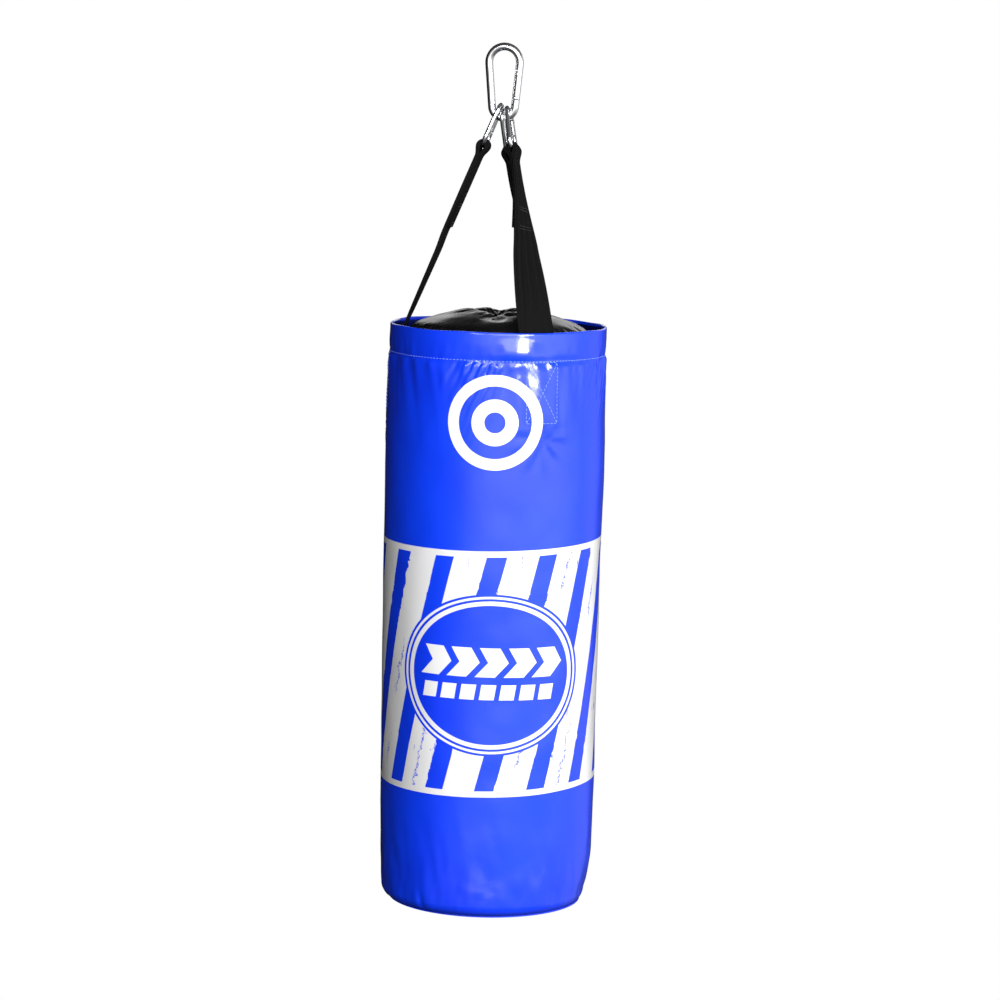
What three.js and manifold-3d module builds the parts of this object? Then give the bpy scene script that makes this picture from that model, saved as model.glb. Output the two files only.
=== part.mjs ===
// A hanging punch bag: a stuffed tarpaulin tube on three webbing straps. Each strap ends in a
// small spring snap hook, and the three small hooks hang in the bight of one larger snap hook.
// Millimetres, +Z up. The origin is the inside of the large hook's top bend, where it hangs.
// The front of the bag faces -Y. Azimuths are measured from -Y towards +X.

import * as THREE from 'three';
import { mergeVertices } from 'three/addons/utils/BufferGeometryUtils.js';
import Module from 'manifold-3d';

const wasm = await Module();
wasm.setup();

// ---------------------------------------------------------------- driving dimensions

const GAP = 0.3;
const DEGREE = Math.PI / 180;

const TOP_HOOK = {
  wire: 8, length: 80, width: 40, narrowRadius: 12, pivotDrop: 48, noseDrop: 19.5, sides: 10,
};
const SMALL_HOOK = {
  wire: 5, length: 50, width: 25, narrowRadius: 7.6, pivotDrop: 30, noseDrop: 12.2, sides: 8,
};
const TOP_HOOK_YAW = -12 * DEGREE;
const WIRE_STEP = 2.1;

const RIM_Z = -278;
const BOTTOM_Z = -878;
const WALL = 1.2;
const HEM_HEIGHT = 40;
const RIM_RADIUS = 111.5;
const LATHE_SEGMENTS = 36;

const DISC_RADIUS = 100;
const DISC_THICKNESS = 1.5;
const CORNER_RADIUS = 12;
const CORNER_CENTRE_RADIUS = 98.3;
const FLANGE_INNER_RADIUS = 88;

const SACK_RADIUS = 106.3;
const SACK_SKIN = 1.2;
const NECK_RADIUS = 6.5;
const NECK_HOLE_RADIUS = 2.5;
const TIE_RADIUS = 1.3;
const TIE_HEIGHT = 5.8;

const WEBBING = { width: 38, thickness: 2, gatheredWidth: 11.5, gatheredThickness: 3 };
const STRAP_RIM_RADIUS = 94;
const STRAP_TAIL = 90;

// The sewn end as [drop below the rim, distance from the bag's axis, radius of its bend across].
const STRAP_SEWN_PATH = [
  [97, 107.8, 107.8], [78, 107.8, 107.8], [58, 107.8, 107.8], [42, 107.8, 107.8],
  [34, 107.0, 120], [26, 104.6, 160], [14, 99.9, 260],
];
// Places of the doubled part's sections, from 0 at the rim to 1 at the hook.
const DOUBLED_SHARES = [0.62, 0.74, 0.84, 0.92, 0.97];
const LOOP_CLEARANCE = 0.4;
const LOOP_TAPER = 24;
const LOOP_STEPS = 8;

// Where each small hook's end bend sits in the large hook's own frame (across, through, up),
// how far the hook is turned about its length, and the azimuth of its strap on the bag.
const STRAPS = [
  { name: 'left', azimuth: -96, crown: [-2.5, 0.5, -55.3], twist: -2 },
  { name: 'front', azimuth: 24, crown: [4.3, 2.6, -58.4], twist: 2 },
  { name: 'back', azimuth: 156, crown: [-0.4, -2.3, -61.4], twist: -1 },
];

// ---------------------------------------------------------------- materials

function finish(color, roughness, metalness) {
  return new THREE.MeshStandardMaterial({ color, roughness, metalness });
}

const chrome = () => finish(0xc9ccd0, 0.18, 1.0);
const springSteel = () => finish(0x8d9196, 0.35, 1.0);
const blueTarpaulin = () => finish(0x1030e0, 0.25, 0.0);
const blackVinyl = () => finish(0x101114, 0.25, 0.0);
const blackWebbing = () => finish(0x1b1b1d, 0.85, 0.0);
const greyTextile = () => finish(0x7f8085, 0.95, 0.0);

// ---------------------------------------------------------------- solids

function toSolid(geometry) {
  const bare = geometry.clone();
  bare.deleteAttribute('normal');
  bare.deleteAttribute('uv');
  const merged = mergeVertices(bare, 1e-4);
  return new wasm.Manifold(new wasm.Mesh({
    numProp: 3,
    vertProperties: new Float32Array(merged.attributes.position.array),
    triVerts: new Uint32Array(merged.index.array),
  }));
}

function toGeometry(solid) {
  const mesh = solid.getMesh();
  const geometry = new THREE.BufferGeometry();
  geometry.setAttribute('position', new THREE.BufferAttribute(new Float32Array(mesh.vertProperties), 3));
  geometry.setIndex(new THREE.BufferAttribute(new Uint32Array(mesh.triVerts), 1));
  geometry.computeVertexNormals();
  return geometry;
}

function cut(solid, ...tools) {
  return tools.reduce((rest, tool) => rest.subtract(tool), solid);
}

// A rod of the given radius along Z, from one height to another.
function rodZ(radius, low, high, sides) {
  const rod = new THREE.CylinderGeometry(radius, radius, high - low, sides);
  rod.rotateX(Math.PI / 2);
  rod.translate(0, 0, (low + high) / 2);
  return toSolid(rod);
}

// A rod along Y through the point (0, 0, height).
function rodY(radius, halfLength, height, sides) {
  const rod = new THREE.CylinderGeometry(radius, radius, 2 * halfLength, sides);
  rod.translate(0, 0, height);
  return toSolid(rod);
}

function ball(radius) {
  return toSolid(new THREE.SphereGeometry(radius, 12, 8));
}

function block(sizeX, sizeY, sizeZ, x, y, z) {
  const box = new THREE.BoxGeometry(sizeX, sizeY, sizeZ);
  box.translate(x, y, z);
  return toSolid(box);
}

function roundShape(radius, sides) {
  const corners = [];
  for (let i = 0; i < sides; i += 1) {
    const angle = (2 * Math.PI * i) / sides;
    corners.push(new THREE.Vector2(radius * Math.cos(angle), radius * Math.sin(angle)));
  }
  return new THREE.Shape(corners);
}

function tubeAlong(curve, radius, steps, sides) {
  const options = { extrudePath: curve, steps, bevelEnabled: false };
  return new THREE.ExtrudeGeometry(roundShape(radius, sides), options);
}

// A solid of revolution about Z from a profile of [radius, height] pairs.
function turned(profile, segments) {
  const lathe = new THREE.LatheGeometry(profile.map(([r, z]) => new THREE.Vector2(r, z)), segments);
  lathe.rotateX(Math.PI / 2);
  return toGeometry(toSolid(lathe));
}

// ---------------------------------------------------------------- spring snap hooks

// Centreline of the bent wire in the hook's own frame: X towards the gate, Z towards the wide
// end, the origin on the inside of the wide end.
function hookLayout(spec) {
  const radius = spec.wire / 2;
  const wideRadius = (spec.width - spec.wire) / 2;
  const wideZ = radius - wideRadius;
  const crownZ = radius - (spec.length - spec.wire);
  const narrowZ = crownZ + spec.narrowRadius;
  const lean = Math.asin((wideRadius - spec.narrowRadius) / (wideZ - narrowZ));
  const gateSide = (z) => {
    const drop = wideZ - wideRadius * Math.sin(lean) - z;
    return new THREE.Vector3(wideRadius * Math.cos(lean) - drop * Math.tan(lean), 0, z);
  };
  return { radius, wideRadius, wideZ, crownZ, narrowZ, lean, gateSide };
}

function arcPoints(radius, centreZ, from, to, count) {
  const points = [];
  for (let i = 0; i <= count; i += 1) {
    const angle = from + ((to - from) * i) / count;
    points.push(new THREE.Vector3(radius * Math.cos(angle), 0, centreZ + radius * Math.sin(angle)));
  }
  return points;
}

// The wire runs from the hinge, round the narrow end, up the back and round the wide end.
function hookWire(spec, layout, noseEndZ) {
  const { wideRadius, wideZ, narrowZ, lean, gateSide } = layout;
  const points = [
    gateSide(-spec.pivotDrop),
    ...arcPoints(spec.narrowRadius, narrowZ, -lean, lean - Math.PI, 10),
    ...arcPoints(wideRadius, wideZ, Math.PI + lean, -lean, 12),
    gateSide(noseEndZ),
  ];
  return new THREE.CatmullRomCurve3(points, false, 'centripetal');
}

// Moves a solid from the gate's frame to the hook's frame. In the gate's frame the origin is
// the hinge, Z runs up the gate and X points out of the hook.
function gateMatrix(spec, layout) {
  const matrix = new THREE.Matrix4().makeRotationY(layout.lean);
  matrix.setPosition(layout.gateSide(-spec.pivotDrop));
  return matrix;
}

function hookSizes(spec, layout) {
  const wire = spec.wire;
  const hinge = layout.gateSide(-spec.pivotDrop);
  const shoulder = layout.gateSide(-spec.noseDrop);
  const pinRadius = 0.13 * wire;
  return {
    gateLength: hinge.distanceTo(shoulder),
    tongue: 0.38 * wire,
    noseLength: 0.82 * wire,
    pinDepth: 0.46 * wire,
    pinRadius,
    notchRadius: pinRadius + 0.35 + 0.04 * wire,
    endGap: GAP + 0.06 * wire,
    rivetRadius: 0.15 * wire,
    boreRadius: 0.26 * wire,
    boreLength: 1.6 * wire,
  };
}

function placeSolid(solid, matrix) {
  return solid.transform(Array.from(matrix.elements));
}

function hookBody(spec, layout, sizes) {
  const { radius } = layout;
  const reach = spec.wire * 2;
  const noseEndZ = -spec.noseDrop - sizes.noseLength * Math.cos(layout.lean);
  const steps = Math.round(spec.length / WIRE_STEP);
  const wire = toSolid(tubeAlong(hookWire(spec, layout, noseEndZ), radius, steps, spec.sides));
  const toHook = gateMatrix(spec, layout);
  const hingeEnd = placeSolid(ball(radius), toHook);
  const slab = block(reach, sizes.tongue, reach, 0, 0, 0);
  const hingeCheeks = ball(radius + GAP + 0.1).subtract(slab);
  const hingeHole = rodY(sizes.rivetRadius + GAP, radius, 0, 12);
  const pinZ = sizes.gateLength - sizes.pinDepth;
  const noseSlab = block(reach, sizes.tongue, reach, 0, 0, sizes.gateLength - radius);
  const noseCheeks = rodZ(radius + 1, pinZ - spec.wire, sizes.gateLength, 16).subtract(noseSlab);
  const notch = rodY(sizes.notchRadius, radius, pinZ, 12)
    .add(block(reach, spec.wire, 2 * sizes.notchRadius, -reach / 2, 0, pinZ));
  const tools = [hingeCheeks, hingeHole, noseCheeks, notch].map((tool) => placeSolid(tool, toHook));
  return toGeometry(cut(wire.add(hingeEnd), ...tools));
}

function hookGate(spec, layout, sizes) {
  const { radius } = layout;
  const tip = sizes.gateLength - sizes.endGap;
  const slotWidth = sizes.tongue + 2 * GAP;
  const rod = rodZ(radius, 0, tip, 12).add(ball(radius));
  const hingeSlot = ball(radius + GAP + 0.1).intersect(block(3 * radius, slotWidth, 3 * radius, 0, 0, 0));
  const slotFloor = sizes.gateLength - sizes.noseLength - sizes.endGap;
  const noseSlot = block(3 * radius, slotWidth, spec.wire, 0, 0, slotFloor + spec.wire / 2);
  const rivetHole = rodY(sizes.rivetRadius + GAP, spec.wire, 0, 12);
  const pinHole = rodY(sizes.pinRadius + GAP, spec.wire, sizes.gateLength - sizes.pinDepth, 10);
  const bore = rodZ(sizes.boreRadius, 0, radius + sizes.boreLength, 12);
  return toGeometry(cut(rod, hingeSlot, noseSlot, rivetHole, pinHole, bore));
}

// A rivet along Y with a low head at each end.
function hookRivet(spec, layout, sizes) {
  const shank = layout.radius + GAP;
  const end = shank + 0.08 * spec.wire;
  const headRadius = 1.7 * sizes.rivetRadius;
  const profile = [[0, -end], [0.8 * headRadius, -end], [headRadius, -shank], [sizes.rivetRadius, -shank],
    [sizes.rivetRadius, shank], [headRadius, shank], [0.8 * headRadius, end], [0, end]];
  return new THREE.LatheGeometry(profile.map(([r, y]) => new THREE.Vector2(r, y)), 12);
}

function latchPin(layout, sizes) {
  const pin = new THREE.CylinderGeometry(sizes.pinRadius, sizes.pinRadius, 2 * layout.radius - 0.4, 10);
  pin.translate(0, 0, sizes.gateLength - sizes.pinDepth);
  return pin;
}

// An open coil in the gate's bore, which pushes against the hinge tongue.
class CoilCurve extends THREE.Curve {
  constructor(radius, low, high, turns) {
    super();
    Object.assign(this, { radius, low, high, turns });
  }

  getPoint(t, target = new THREE.Vector3()) {
    const angle = 2 * Math.PI * this.turns * t;
    const height = this.low + (this.high - this.low) * t;
    return target.set(this.radius * Math.cos(angle), this.radius * Math.sin(angle), height);
  }
}

function gateSpring(spec, layout, sizes) {
  const wireRadius = 0.04 * spec.wire;
  const coilRadius = sizes.boreRadius - GAP - wireRadius;
  const low = layout.radius + GAP + 0.2 + wireRadius;
  const high = layout.radius + sizes.boreLength - GAP - wireRadius;
  const turns = 4;
  return tubeAlong(new CoilCurve(coilRadius, low, high, turns), wireRadius, turns * 8, 4);
}

function namedMesh(name, geometry, material) {
  const mesh = new THREE.Mesh(toGeometry(toSolid(geometry)), material);
  mesh.name = name;
  return mesh;
}

// One snap hook as a group of five pieces, in the hook's own frame.
function snapHook(name, spec) {
  const layout = hookLayout(spec);
  const sizes = hookSizes(spec, layout);
  const hook = new THREE.Group();
  hook.add(namedMesh(`${name}_body`, hookBody(spec, layout, sizes), chrome()));
  const gateFrame = new THREE.Group();
  gateFrame.applyMatrix4(gateMatrix(spec, layout));
  gateFrame.add(namedMesh(`${name}_gate`, hookGate(spec, layout, sizes), chrome()));
  gateFrame.add(namedMesh(`${name}_rivet`, hookRivet(spec, layout, sizes), chrome()));
  gateFrame.add(namedMesh(`${name}_latch_pin`, latchPin(layout, sizes), springSteel()));
  gateFrame.add(namedMesh(`${name}_spring`, gateSpring(spec, layout, sizes), springSteel()));
  hook.add(gateFrame);
  return hook;
}

// ---------------------------------------------------------------- strap lines

const radial = (azimuth) => new THREE.Vector3(Math.sin(azimuth * DEGREE), -Math.cos(azimuth * DEGREE), 0);
const tangential = (azimuth) => radial(azimuth + 90);
const upAxis = new THREE.Vector3(0, 0, 1);

// The straight line of one strap from its hook's narrow end to the rim, with the directions
// along it (down the strap) and across the hook.
function strapLine(strap) {
  const turn = (x, y, z) => new THREE.Vector3(x, y, z).applyAxisAngle(upAxis, TOP_HOOK_YAW);
  const crown = turn(...strap.crown);
  const rim = radial(strap.azimuth).multiplyScalar(STRAP_RIM_RADIUS).setZ(RIM_Z);
  const along = rim.clone().sub(crown).normalize();
  const through = turn(0, 1, 0);
  const flat = through.clone().addScaledVector(along, -through.dot(along)).normalize();
  const side = new THREE.Vector3().crossVectors(flat, along);
  if (side.dot(turn(1, 0, 0)) < 0) side.negate();
  const angle = strap.twist * DEGREE;
  const across = flat.clone().multiplyScalar(Math.cos(angle)).addScaledVector(side, Math.sin(angle));
  return { crown, rim, along, across };
}

function smallHookMatrix(line) {
  const layout = hookLayout(SMALL_HOOK);
  const normal = new THREE.Vector3().crossVectors(line.along, line.across);
  const matrix = new THREE.Matrix4().makeBasis(line.across, normal, line.along);
  matrix.setPosition(line.crown.clone().addScaledVector(line.along, -layout.crownZ));
  return matrix;
}

// ---------------------------------------------------------------- webbing straps

// A ribbon through stations of {centre, across, width, thickness, bow}. The bow is the radius
// that the ribbon's section is curved to, and 0 leaves it flat.
const RIBBON_CELLS = 4;

function ribbonSection(station, along) {
  const normal = new THREE.Vector3().crossVectors(station.across, along).normalize();
  const ring = [];
  for (const face of [1, -1]) {
    for (let i = 0; i <= RIBBON_CELLS; i += 1) {
      const offset = face * (i / RIBBON_CELLS - 0.5) * station.width;
      const angle = station.bow ? offset / station.bow : 0;
      const sideways = station.bow ? station.bow * Math.sin(angle) : offset;
      const inward = station.bow ? station.bow * (1 - Math.cos(angle)) : 0;
      const lift = (face * station.thickness) / 2;
      const tilt = normal.clone()
        .multiplyScalar(Math.cos(angle))
        .addScaledVector(station.across, Math.sin(angle));
      ring.push(station.centre.clone()
        .addScaledVector(station.across, sideways)
        .addScaledVector(normal, -inward)
        .addScaledVector(tilt, lift));
    }
  }
  return ring;
}

function ribbon(stations) {
  const size = 2 * (RIBBON_CELLS + 1);
  const positions = [];
  stations.forEach((station, i) => {
    const before = stations[Math.max(i - 1, 0)].centre;
    const after = stations[Math.min(i + 1, stations.length - 1)].centre;
    const along = after.clone().sub(before).normalize();
    ribbonSection(station, along).forEach((p) => positions.push(p.x, p.y, p.z));
  });
  const index = [];
  for (let i = 0; i + 1 < stations.length; i += 1) {
    for (let j = 0; j < size; j += 1) {
      const a = i * size + j;
      const b = i * size + ((j + 1) % size);
      index.push(a, b, b + size, a, b + size, a + size);
    }
  }
  const last = (stations.length - 1) * size;
  for (let j = 0; j < RIBBON_CELLS; j += 1) {
    const mirror = size - 1 - j;
    index.push(j, mirror, mirror - 1, j, mirror - 1, j + 1);
    index.push(last + j, last + mirror - 1, last + mirror, last + j, last + j + 1, last + mirror - 1);
  }
  const geometry = new THREE.BufferGeometry();
  geometry.setAttribute('position', new THREE.Float32BufferAttribute(positions, 3));
  geometry.setIndex(index);
  return geometry;
}

const blend = (a, b, t) => a + (b - a) * t;
const ease = (t) => t * t * (3 - 2 * t);

// Sections along the free part of the strap, from the rim (0) to the hook (1): the webbing is
// gathered narrow and turned to the hook's wire as it rises.
function freeSection(strap, line, eye, share) {
  const gather = ease(share);
  const flat = tangential(strap.azimuth);
  const across = flat.dot(line.across) < 0 ? line.across.clone().negate() : line.across.clone();
  const facing = flat.clone().lerp(across, gather);
  facing.addScaledVector(line.along, -facing.dot(line.along)).normalize();
  return {
    centre: line.rim.clone().lerp(eye, share),
    across: facing,
    width: blend(WEBBING.width, WEBBING.gatheredWidth, gather),
    thickness: blend(WEBBING.thickness, WEBBING.gatheredThickness, gather),
    bow: 0,
  };
}

// The direction in which the folded-back tail lies beside the rising part.
function tailSide(section, line) {
  const up = line.along.clone().negate();
  return new THREE.Vector3().crossVectors(section.across, up).normalize();
}

function offsetSection(section, line, distance) {
  const centre = section.centre.clone().addScaledVector(tailSide(section, line), distance);
  return { ...section, centre };
}

// Sections of the sewn end inside the wall, and on over the rim's edge.
function sewnSections(strap) {
  const out = radial(strap.azimuth);
  return STRAP_SEWN_PATH.map(([drop, reach, bow]) => ({
    centre: out.clone().multiplyScalar(reach).setZ(RIM_Z - drop),
    across: tangential(strap.azimuth),
    width: WEBBING.width,
    thickness: WEBBING.thickness,
    bow,
  }));
}

// Sections of the loop round the hook's wire, cupped to follow the wire's own bend.
function loopSections(top, line, eye, loopRadius, cupRadius) {
  const up = line.along.clone().negate();
  const side = tailSide(top, line);
  const sections = [];
  for (let i = 0; i <= LOOP_STEPS; i += 1) {
    const angle = (Math.PI * i) / LOOP_STEPS;
    const lift = Math.sin(angle);
    const centre = eye.clone()
      .addScaledVector(side, -loopRadius * Math.cos(angle))
      .addScaledVector(up, loopRadius * lift);
    sections.push({ ...top, bow: lift > 0.01 ? cupRadius / lift : 0, centre });
  }
  return sections;
}

function strapRibbon(strap) {
  const line = strapLine(strap);
  const layout = hookLayout(SMALL_HOOK);
  const eye = line.crown.clone().addScaledVector(line.along, layout.radius - layout.crownZ);
  const loopRadius = layout.radius + LOOP_CLEARANCE + WEBBING.gatheredThickness / 2;
  const length = line.rim.distanceTo(eye);
  const tailStart = 1 - STRAP_TAIL / length;

  // Half the distance between the rising part and the tail, which close up below the hook.
  const spread = (share) => {
    const fromHook = (1 - share) * length;
    const pressed = WEBBING.thickness / 2 + LOOP_CLEARANCE;
    return blend(loopRadius, pressed, ease(Math.min(fromHook / LOOP_TAPER, 1)));
  };
  const sectionAt = (share, side) => {
    const section = freeSection(strap, line, eye, share);
    return offsetSection(section, line, side * spread(share));
  };
  const risingSection = (share) => {
    const fade = ease(Math.min(Math.max((share - 0.1) / (tailStart - 0.12), 0), 1));
    return sectionAt(share, -fade);
  };

  const top = freeSection(strap, line, eye, 1);
  return ribbon([
    ...sewnSections(strap),
    ...[0, 0.12, 0.24, 0.36, tailStart - 0.02].map(risingSection),
    ...DOUBLED_SHARES.map((share) => sectionAt(share, -1)),
    ...loopSections(top, line, eye, loopRadius, layout.wideRadius - loopRadius),
    ...[...DOUBLED_SHARES].reverse().map((share) => sectionAt(share, 1)),
    sectionAt(tailStart, 1),
  ]);
}

// ---------------------------------------------------------------- bag

// Outside radius of the stuffed tube by height: slightly fuller in its upper third.
const TUBE_OUTSIDE = [[110.6, -820], [111, -700], [112, -560], [113, -450], [113, -400], [112.6, -330]];

function cornerArc(radius, count) {
  const centreZ = BOTTOM_Z + DISC_THICKNESS + GAP + CORNER_RADIUS;
  const points = [];
  for (let i = 0; i <= count; i += 1) {
    const angle = -Math.PI / 2 + (Math.PI / 2) * (i / count);
    points.push([CORNER_CENTRE_RADIUS + radius * Math.cos(angle), centreZ + radius * Math.sin(angle)]);
  }
  return points;
}

function sidePanel() {
  const outside = [[FLANGE_INNER_RADIUS, cornerArc(CORNER_RADIUS, 4)[0][1]], ...cornerArc(CORNER_RADIUS, 4),
    ...TUBE_OUTSIDE, [RIM_RADIUS + 0.2, RIM_Z - 2], [RIM_RADIUS - 0.4, RIM_Z]];
  const hemInside = RIM_RADIUS - 2 * WALL;
  const insideTube = [...TUBE_OUTSIDE].reverse().map(([r, z]) => [r - WALL, z]);
  const insideCorner = cornerArc(CORNER_RADIUS - WALL, 4).reverse();
  const inside = [[hemInside + 0.4, RIM_Z], [hemInside, RIM_Z - 1.5], [hemInside, RIM_Z - HEM_HEIGHT],
    [hemInside + WALL, RIM_Z - HEM_HEIGHT - 1], ...insideTube, ...insideCorner,
    [FLANGE_INNER_RADIUS, insideCorner[insideCorner.length - 1][1]]];
  const profile = [...outside, ...inside];
  return turned([...profile, profile[0]], LATHE_SEGMENTS);
}

function bottomPanel() {
  const top = BOTTOM_Z + DISC_THICKNESS;
  return turned([[0, BOTTOM_Z], [DISC_RADIUS - 0.4, BOTTOM_Z], [DISC_RADIUS, BOTTOM_Z + 0.5],
    [DISC_RADIUS, top], [0, top]], LATHE_SEGMENTS);
}

// Shoulder and domed top of the sack, as [radius, height above the rim].
const DOME = [
  [SACK_RADIUS, -42], [101.5, -28], [91.5, -4], [84, 3], [72, 8], [58, 12],
  [44, 14.3], [30, 14.5], [21, 11.5], [14, 6.5], [NECK_RADIUS + 1, 2], [NECK_RADIUS, 3.4],
];

const aboveRim = ([r, height]) => [r, RIM_Z + height];

// The lower corner of a layer inside the tube, from the flat base to the wall of the given radius.
function innerCorner(depth, wallRadius) {
  const arc = cornerArc(CORNER_RADIUS - depth, 4).slice(0, 3);
  return [...arc, [wallRadius, arc[2][1] + 2]];
}

function innerSack() {
  const outside = innerCorner(WALL + GAP, SACK_RADIUS);
  const inside = innerCorner(WALL + GAP + SACK_SKIN, SACK_RADIUS - SACK_SKIN).reverse();
  const frill = [[NECK_RADIUS, 8], [10, 10.5], [17.6, 15.2], [17, 15.9]].map(aboveRim);
  const throat = [
    [8.5, 11.8], [NECK_HOLE_RADIUS + 1.5, 9], [NECK_HOLE_RADIUS, 7], [NECK_HOLE_RADIUS, 0.4],
  ].map(aboveRim);
  const under = [[9, 0.6], [14.4, 4.9], [21.5, 10.2], [30, 13.3], [44, 13.1], [57.6, 10.8], [71.4, 6.8],
    [83.2, 1.9], [90.4, -4.8], [100.4, -28.4], [SACK_RADIUS - SACK_SKIN, -42.4]].map(aboveRim);
  return turned([
    [0, outside[0][1]], ...outside, ...DOME.map(aboveRim), ...frill,
    ...throat, ...under, ...inside, [0, inside[inside.length - 1][1]],
  ], LATHE_SEGMENTS);
}

function textileFilling() {
  const edge = SACK_RADIUS - SACK_SKIN - 2 * GAP;
  const corner = innerCorner(WALL + SACK_SKIN + 3 * GAP, edge);
  const top = [
    [edge, -43], [99.4, -29], [89.4, -6], [82.4, 0.8], [71, 5.8], [57.4, 9.8],
    [44, 12], [30, 12.2], [22.4, 9.6], [15, 4], [9, -0.4], [0, -0.6],
  ].map(aboveRim);
  return turned([[0, corner[0][1]], ...corner, ...top], LATHE_SEGMENTS);
}

function neckTie() {
  const ring = [];
  const centre = NECK_RADIUS + GAP + TIE_RADIUS;
  for (let i = 0; i <= 8; i += 1) {
    const angle = (2 * Math.PI * i) / 8;
    ring.push([centre + TIE_RADIUS * Math.cos(angle), RIM_Z + TIE_HEIGHT + TIE_RADIUS * Math.sin(angle)]);
  }
  return turned(ring, 24);
}

// ---------------------------------------------------------------- assembly

const group = new THREE.Group();

const topHook = snapHook('top_hook', TOP_HOOK);
topHook.rotation.z = TOP_HOOK_YAW;
group.add(topHook);

for (const strap of STRAPS) {
  const hook = snapHook(`${strap.name}_hook`, SMALL_HOOK);
  hook.applyMatrix4(smallHookMatrix(strapLine(strap)));
  group.add(hook);
  group.add(namedMesh(`strap_${strap.name}`, strapRibbon(strap), blackWebbing()));
}

group.add(namedMesh('side_panel', sidePanel(), blueTarpaulin()));
group.add(namedMesh('bottom_panel', bottomPanel(), blueTarpaulin()));
group.add(namedMesh('inner_sack', innerSack(), blackVinyl()));
group.add(namedMesh('textile_filling', textileFilling(), greyTextile()));
group.add(namedMesh('neck_tie', neckTie(), blackWebbing()));

export default group;
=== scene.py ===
"""A hanging punch bag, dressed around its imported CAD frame. All lengths are metres."""
import math
from functools import partialmethod

import bpy
import numpy as np
from mathutils import Matrix, Vector, noise


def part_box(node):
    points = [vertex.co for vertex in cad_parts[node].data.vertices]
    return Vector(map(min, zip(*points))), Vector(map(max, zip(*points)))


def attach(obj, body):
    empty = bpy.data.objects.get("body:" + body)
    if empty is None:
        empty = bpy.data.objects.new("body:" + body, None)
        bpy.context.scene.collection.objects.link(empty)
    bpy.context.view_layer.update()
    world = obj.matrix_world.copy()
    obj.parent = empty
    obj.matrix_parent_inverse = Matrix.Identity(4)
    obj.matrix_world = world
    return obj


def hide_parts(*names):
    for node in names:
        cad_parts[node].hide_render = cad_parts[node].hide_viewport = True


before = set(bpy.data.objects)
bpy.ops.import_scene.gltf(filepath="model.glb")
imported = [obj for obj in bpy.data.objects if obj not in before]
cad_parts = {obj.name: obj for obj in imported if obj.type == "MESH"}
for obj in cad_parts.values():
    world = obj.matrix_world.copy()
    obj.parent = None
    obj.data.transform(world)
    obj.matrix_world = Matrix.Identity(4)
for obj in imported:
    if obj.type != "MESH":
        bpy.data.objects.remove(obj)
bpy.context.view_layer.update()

MM = 0.001

# ------------------------ driving dimensions

RIM_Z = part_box("side_panel")[1].z
BOTTOM_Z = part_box("bottom_panel")[0].z
SACK_BASE_Z = BOTTOM_Z + 0.0036
DISC_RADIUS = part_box("bottom_panel")[1].x
GIRTH_RADIUS = 0.1115
TARPAULIN = 0.0012
HEM_HEIGHT = 0.040
HEM_STITCH_DROP = 0.029
CORNER_RADIUS = 0.012
CORNER_CENTRE_RADIUS = 0.0983
FLANGE_RADIUS = 0.088
BASE_SEAM_RADIUS = 0.0945

WEBBING_WIDTH = 0.038
WEBBING_THICKNESS = 0.0011
STRAP_RIM_RADIUS = 0.094
WALL_STRAP_RADIUS = 0.1078
STRAP_WALL_END = 0.097
STRAP_TAIL = 0.090
BOX_TOP = 0.030
BOX_LOW = 0.091
BOX_HALF = 0.0165
FOLDS = 3.6

TOP_HOOK = dict(
    wire=0.008, length=0.080, width=0.040, narrow=0.012, pivot_drop=0.048, nose_drop=0.0195)
SMALL_HOOK = dict(
    wire=0.005, length=0.050, width=0.025, narrow=0.0076, pivot_drop=0.030, nose_drop=0.0122)
TOP_HOOK_YAW = math.radians(-12)

# Each strap's azimuth on the bag in degrees, measured from the front (-Y) towards +X, the place
# in mm of its small hook's end bend in the large hook's own frame, the turn in degrees of the
# hook on its length, and how far the sewn strap pushes the wall out.
STRAPS = {
    "left": dict(azimuth=-96, crown=(-2.5, 0.5, -55.3), twist=-2, seat=0.0004),
    "front": dict(azimuth=24, crown=(4.3, 2.6, -58.4), twist=2, seat=0.0026),
    "back": dict(azimuth=156, crown=(-0.4, -2.3, -61.4), twist=-1, seat=0.0012),
}

# ------------------------ mesh building


def add_object(name, vertices, faces, material, smooth=True):
    """A mesh object in the scene from vertices and faces."""
    mesh = bpy.data.meshes.new(name)
    mesh.from_pydata(np.asarray(vertices, float).tolist(), [], [list(f) for f in faces])
    mesh.polygons.foreach_set("use_smooth", [smooth] * len(mesh.polygons))
    mesh.materials.append(material)
    mesh.update()
    obj = bpy.data.objects.new(name, mesh)
    bpy.context.scene.collection.objects.link(obj)
    return obj


def surface(name, points, material, wrap=False, caps=False, uv=None):
    """A surface through a rows x columns grid of points. wrap joins the last column to the
    first, caps close the first and last rows, and uv is (one value per column, and one more
    for the wrapped edge; one value per row)."""
    points = np.asarray(points, float)
    rows, cols = points.shape[:2]
    i, j = np.meshgrid(np.arange(rows - 1), np.arange(cols if wrap else cols - 1), indexing="ij")
    i, j = i.ravel(), j.ravel()
    corner_rows = np.stack([i, i, i + 1, i + 1], 1)
    corner_cols = np.stack([j, j + 1, j + 1, j], 1)
    faces = (corner_rows * cols + corner_cols % cols).tolist()
    if caps:
        faces.append(list(range(cols))[::-1])
        faces.append(list(range((rows - 1) * cols, rows * cols)))
    obj = add_object(name, points.reshape(-1, 3), faces, material)
    if uv is not None:
        across, along = np.asarray(uv[0], float), np.asarray(uv[1], float)
        layer = obj.data.uv_layers.new(name="cloth")
        pairs = np.stack([across[corner_cols].ravel(), along[corner_rows].ravel()], 1)
        flat = np.zeros((len(obj.data.loops), 2))
        flat[: len(pairs)] = pairs
        layer.data.foreach_set("uv", flat.ravel())
    return obj


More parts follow.
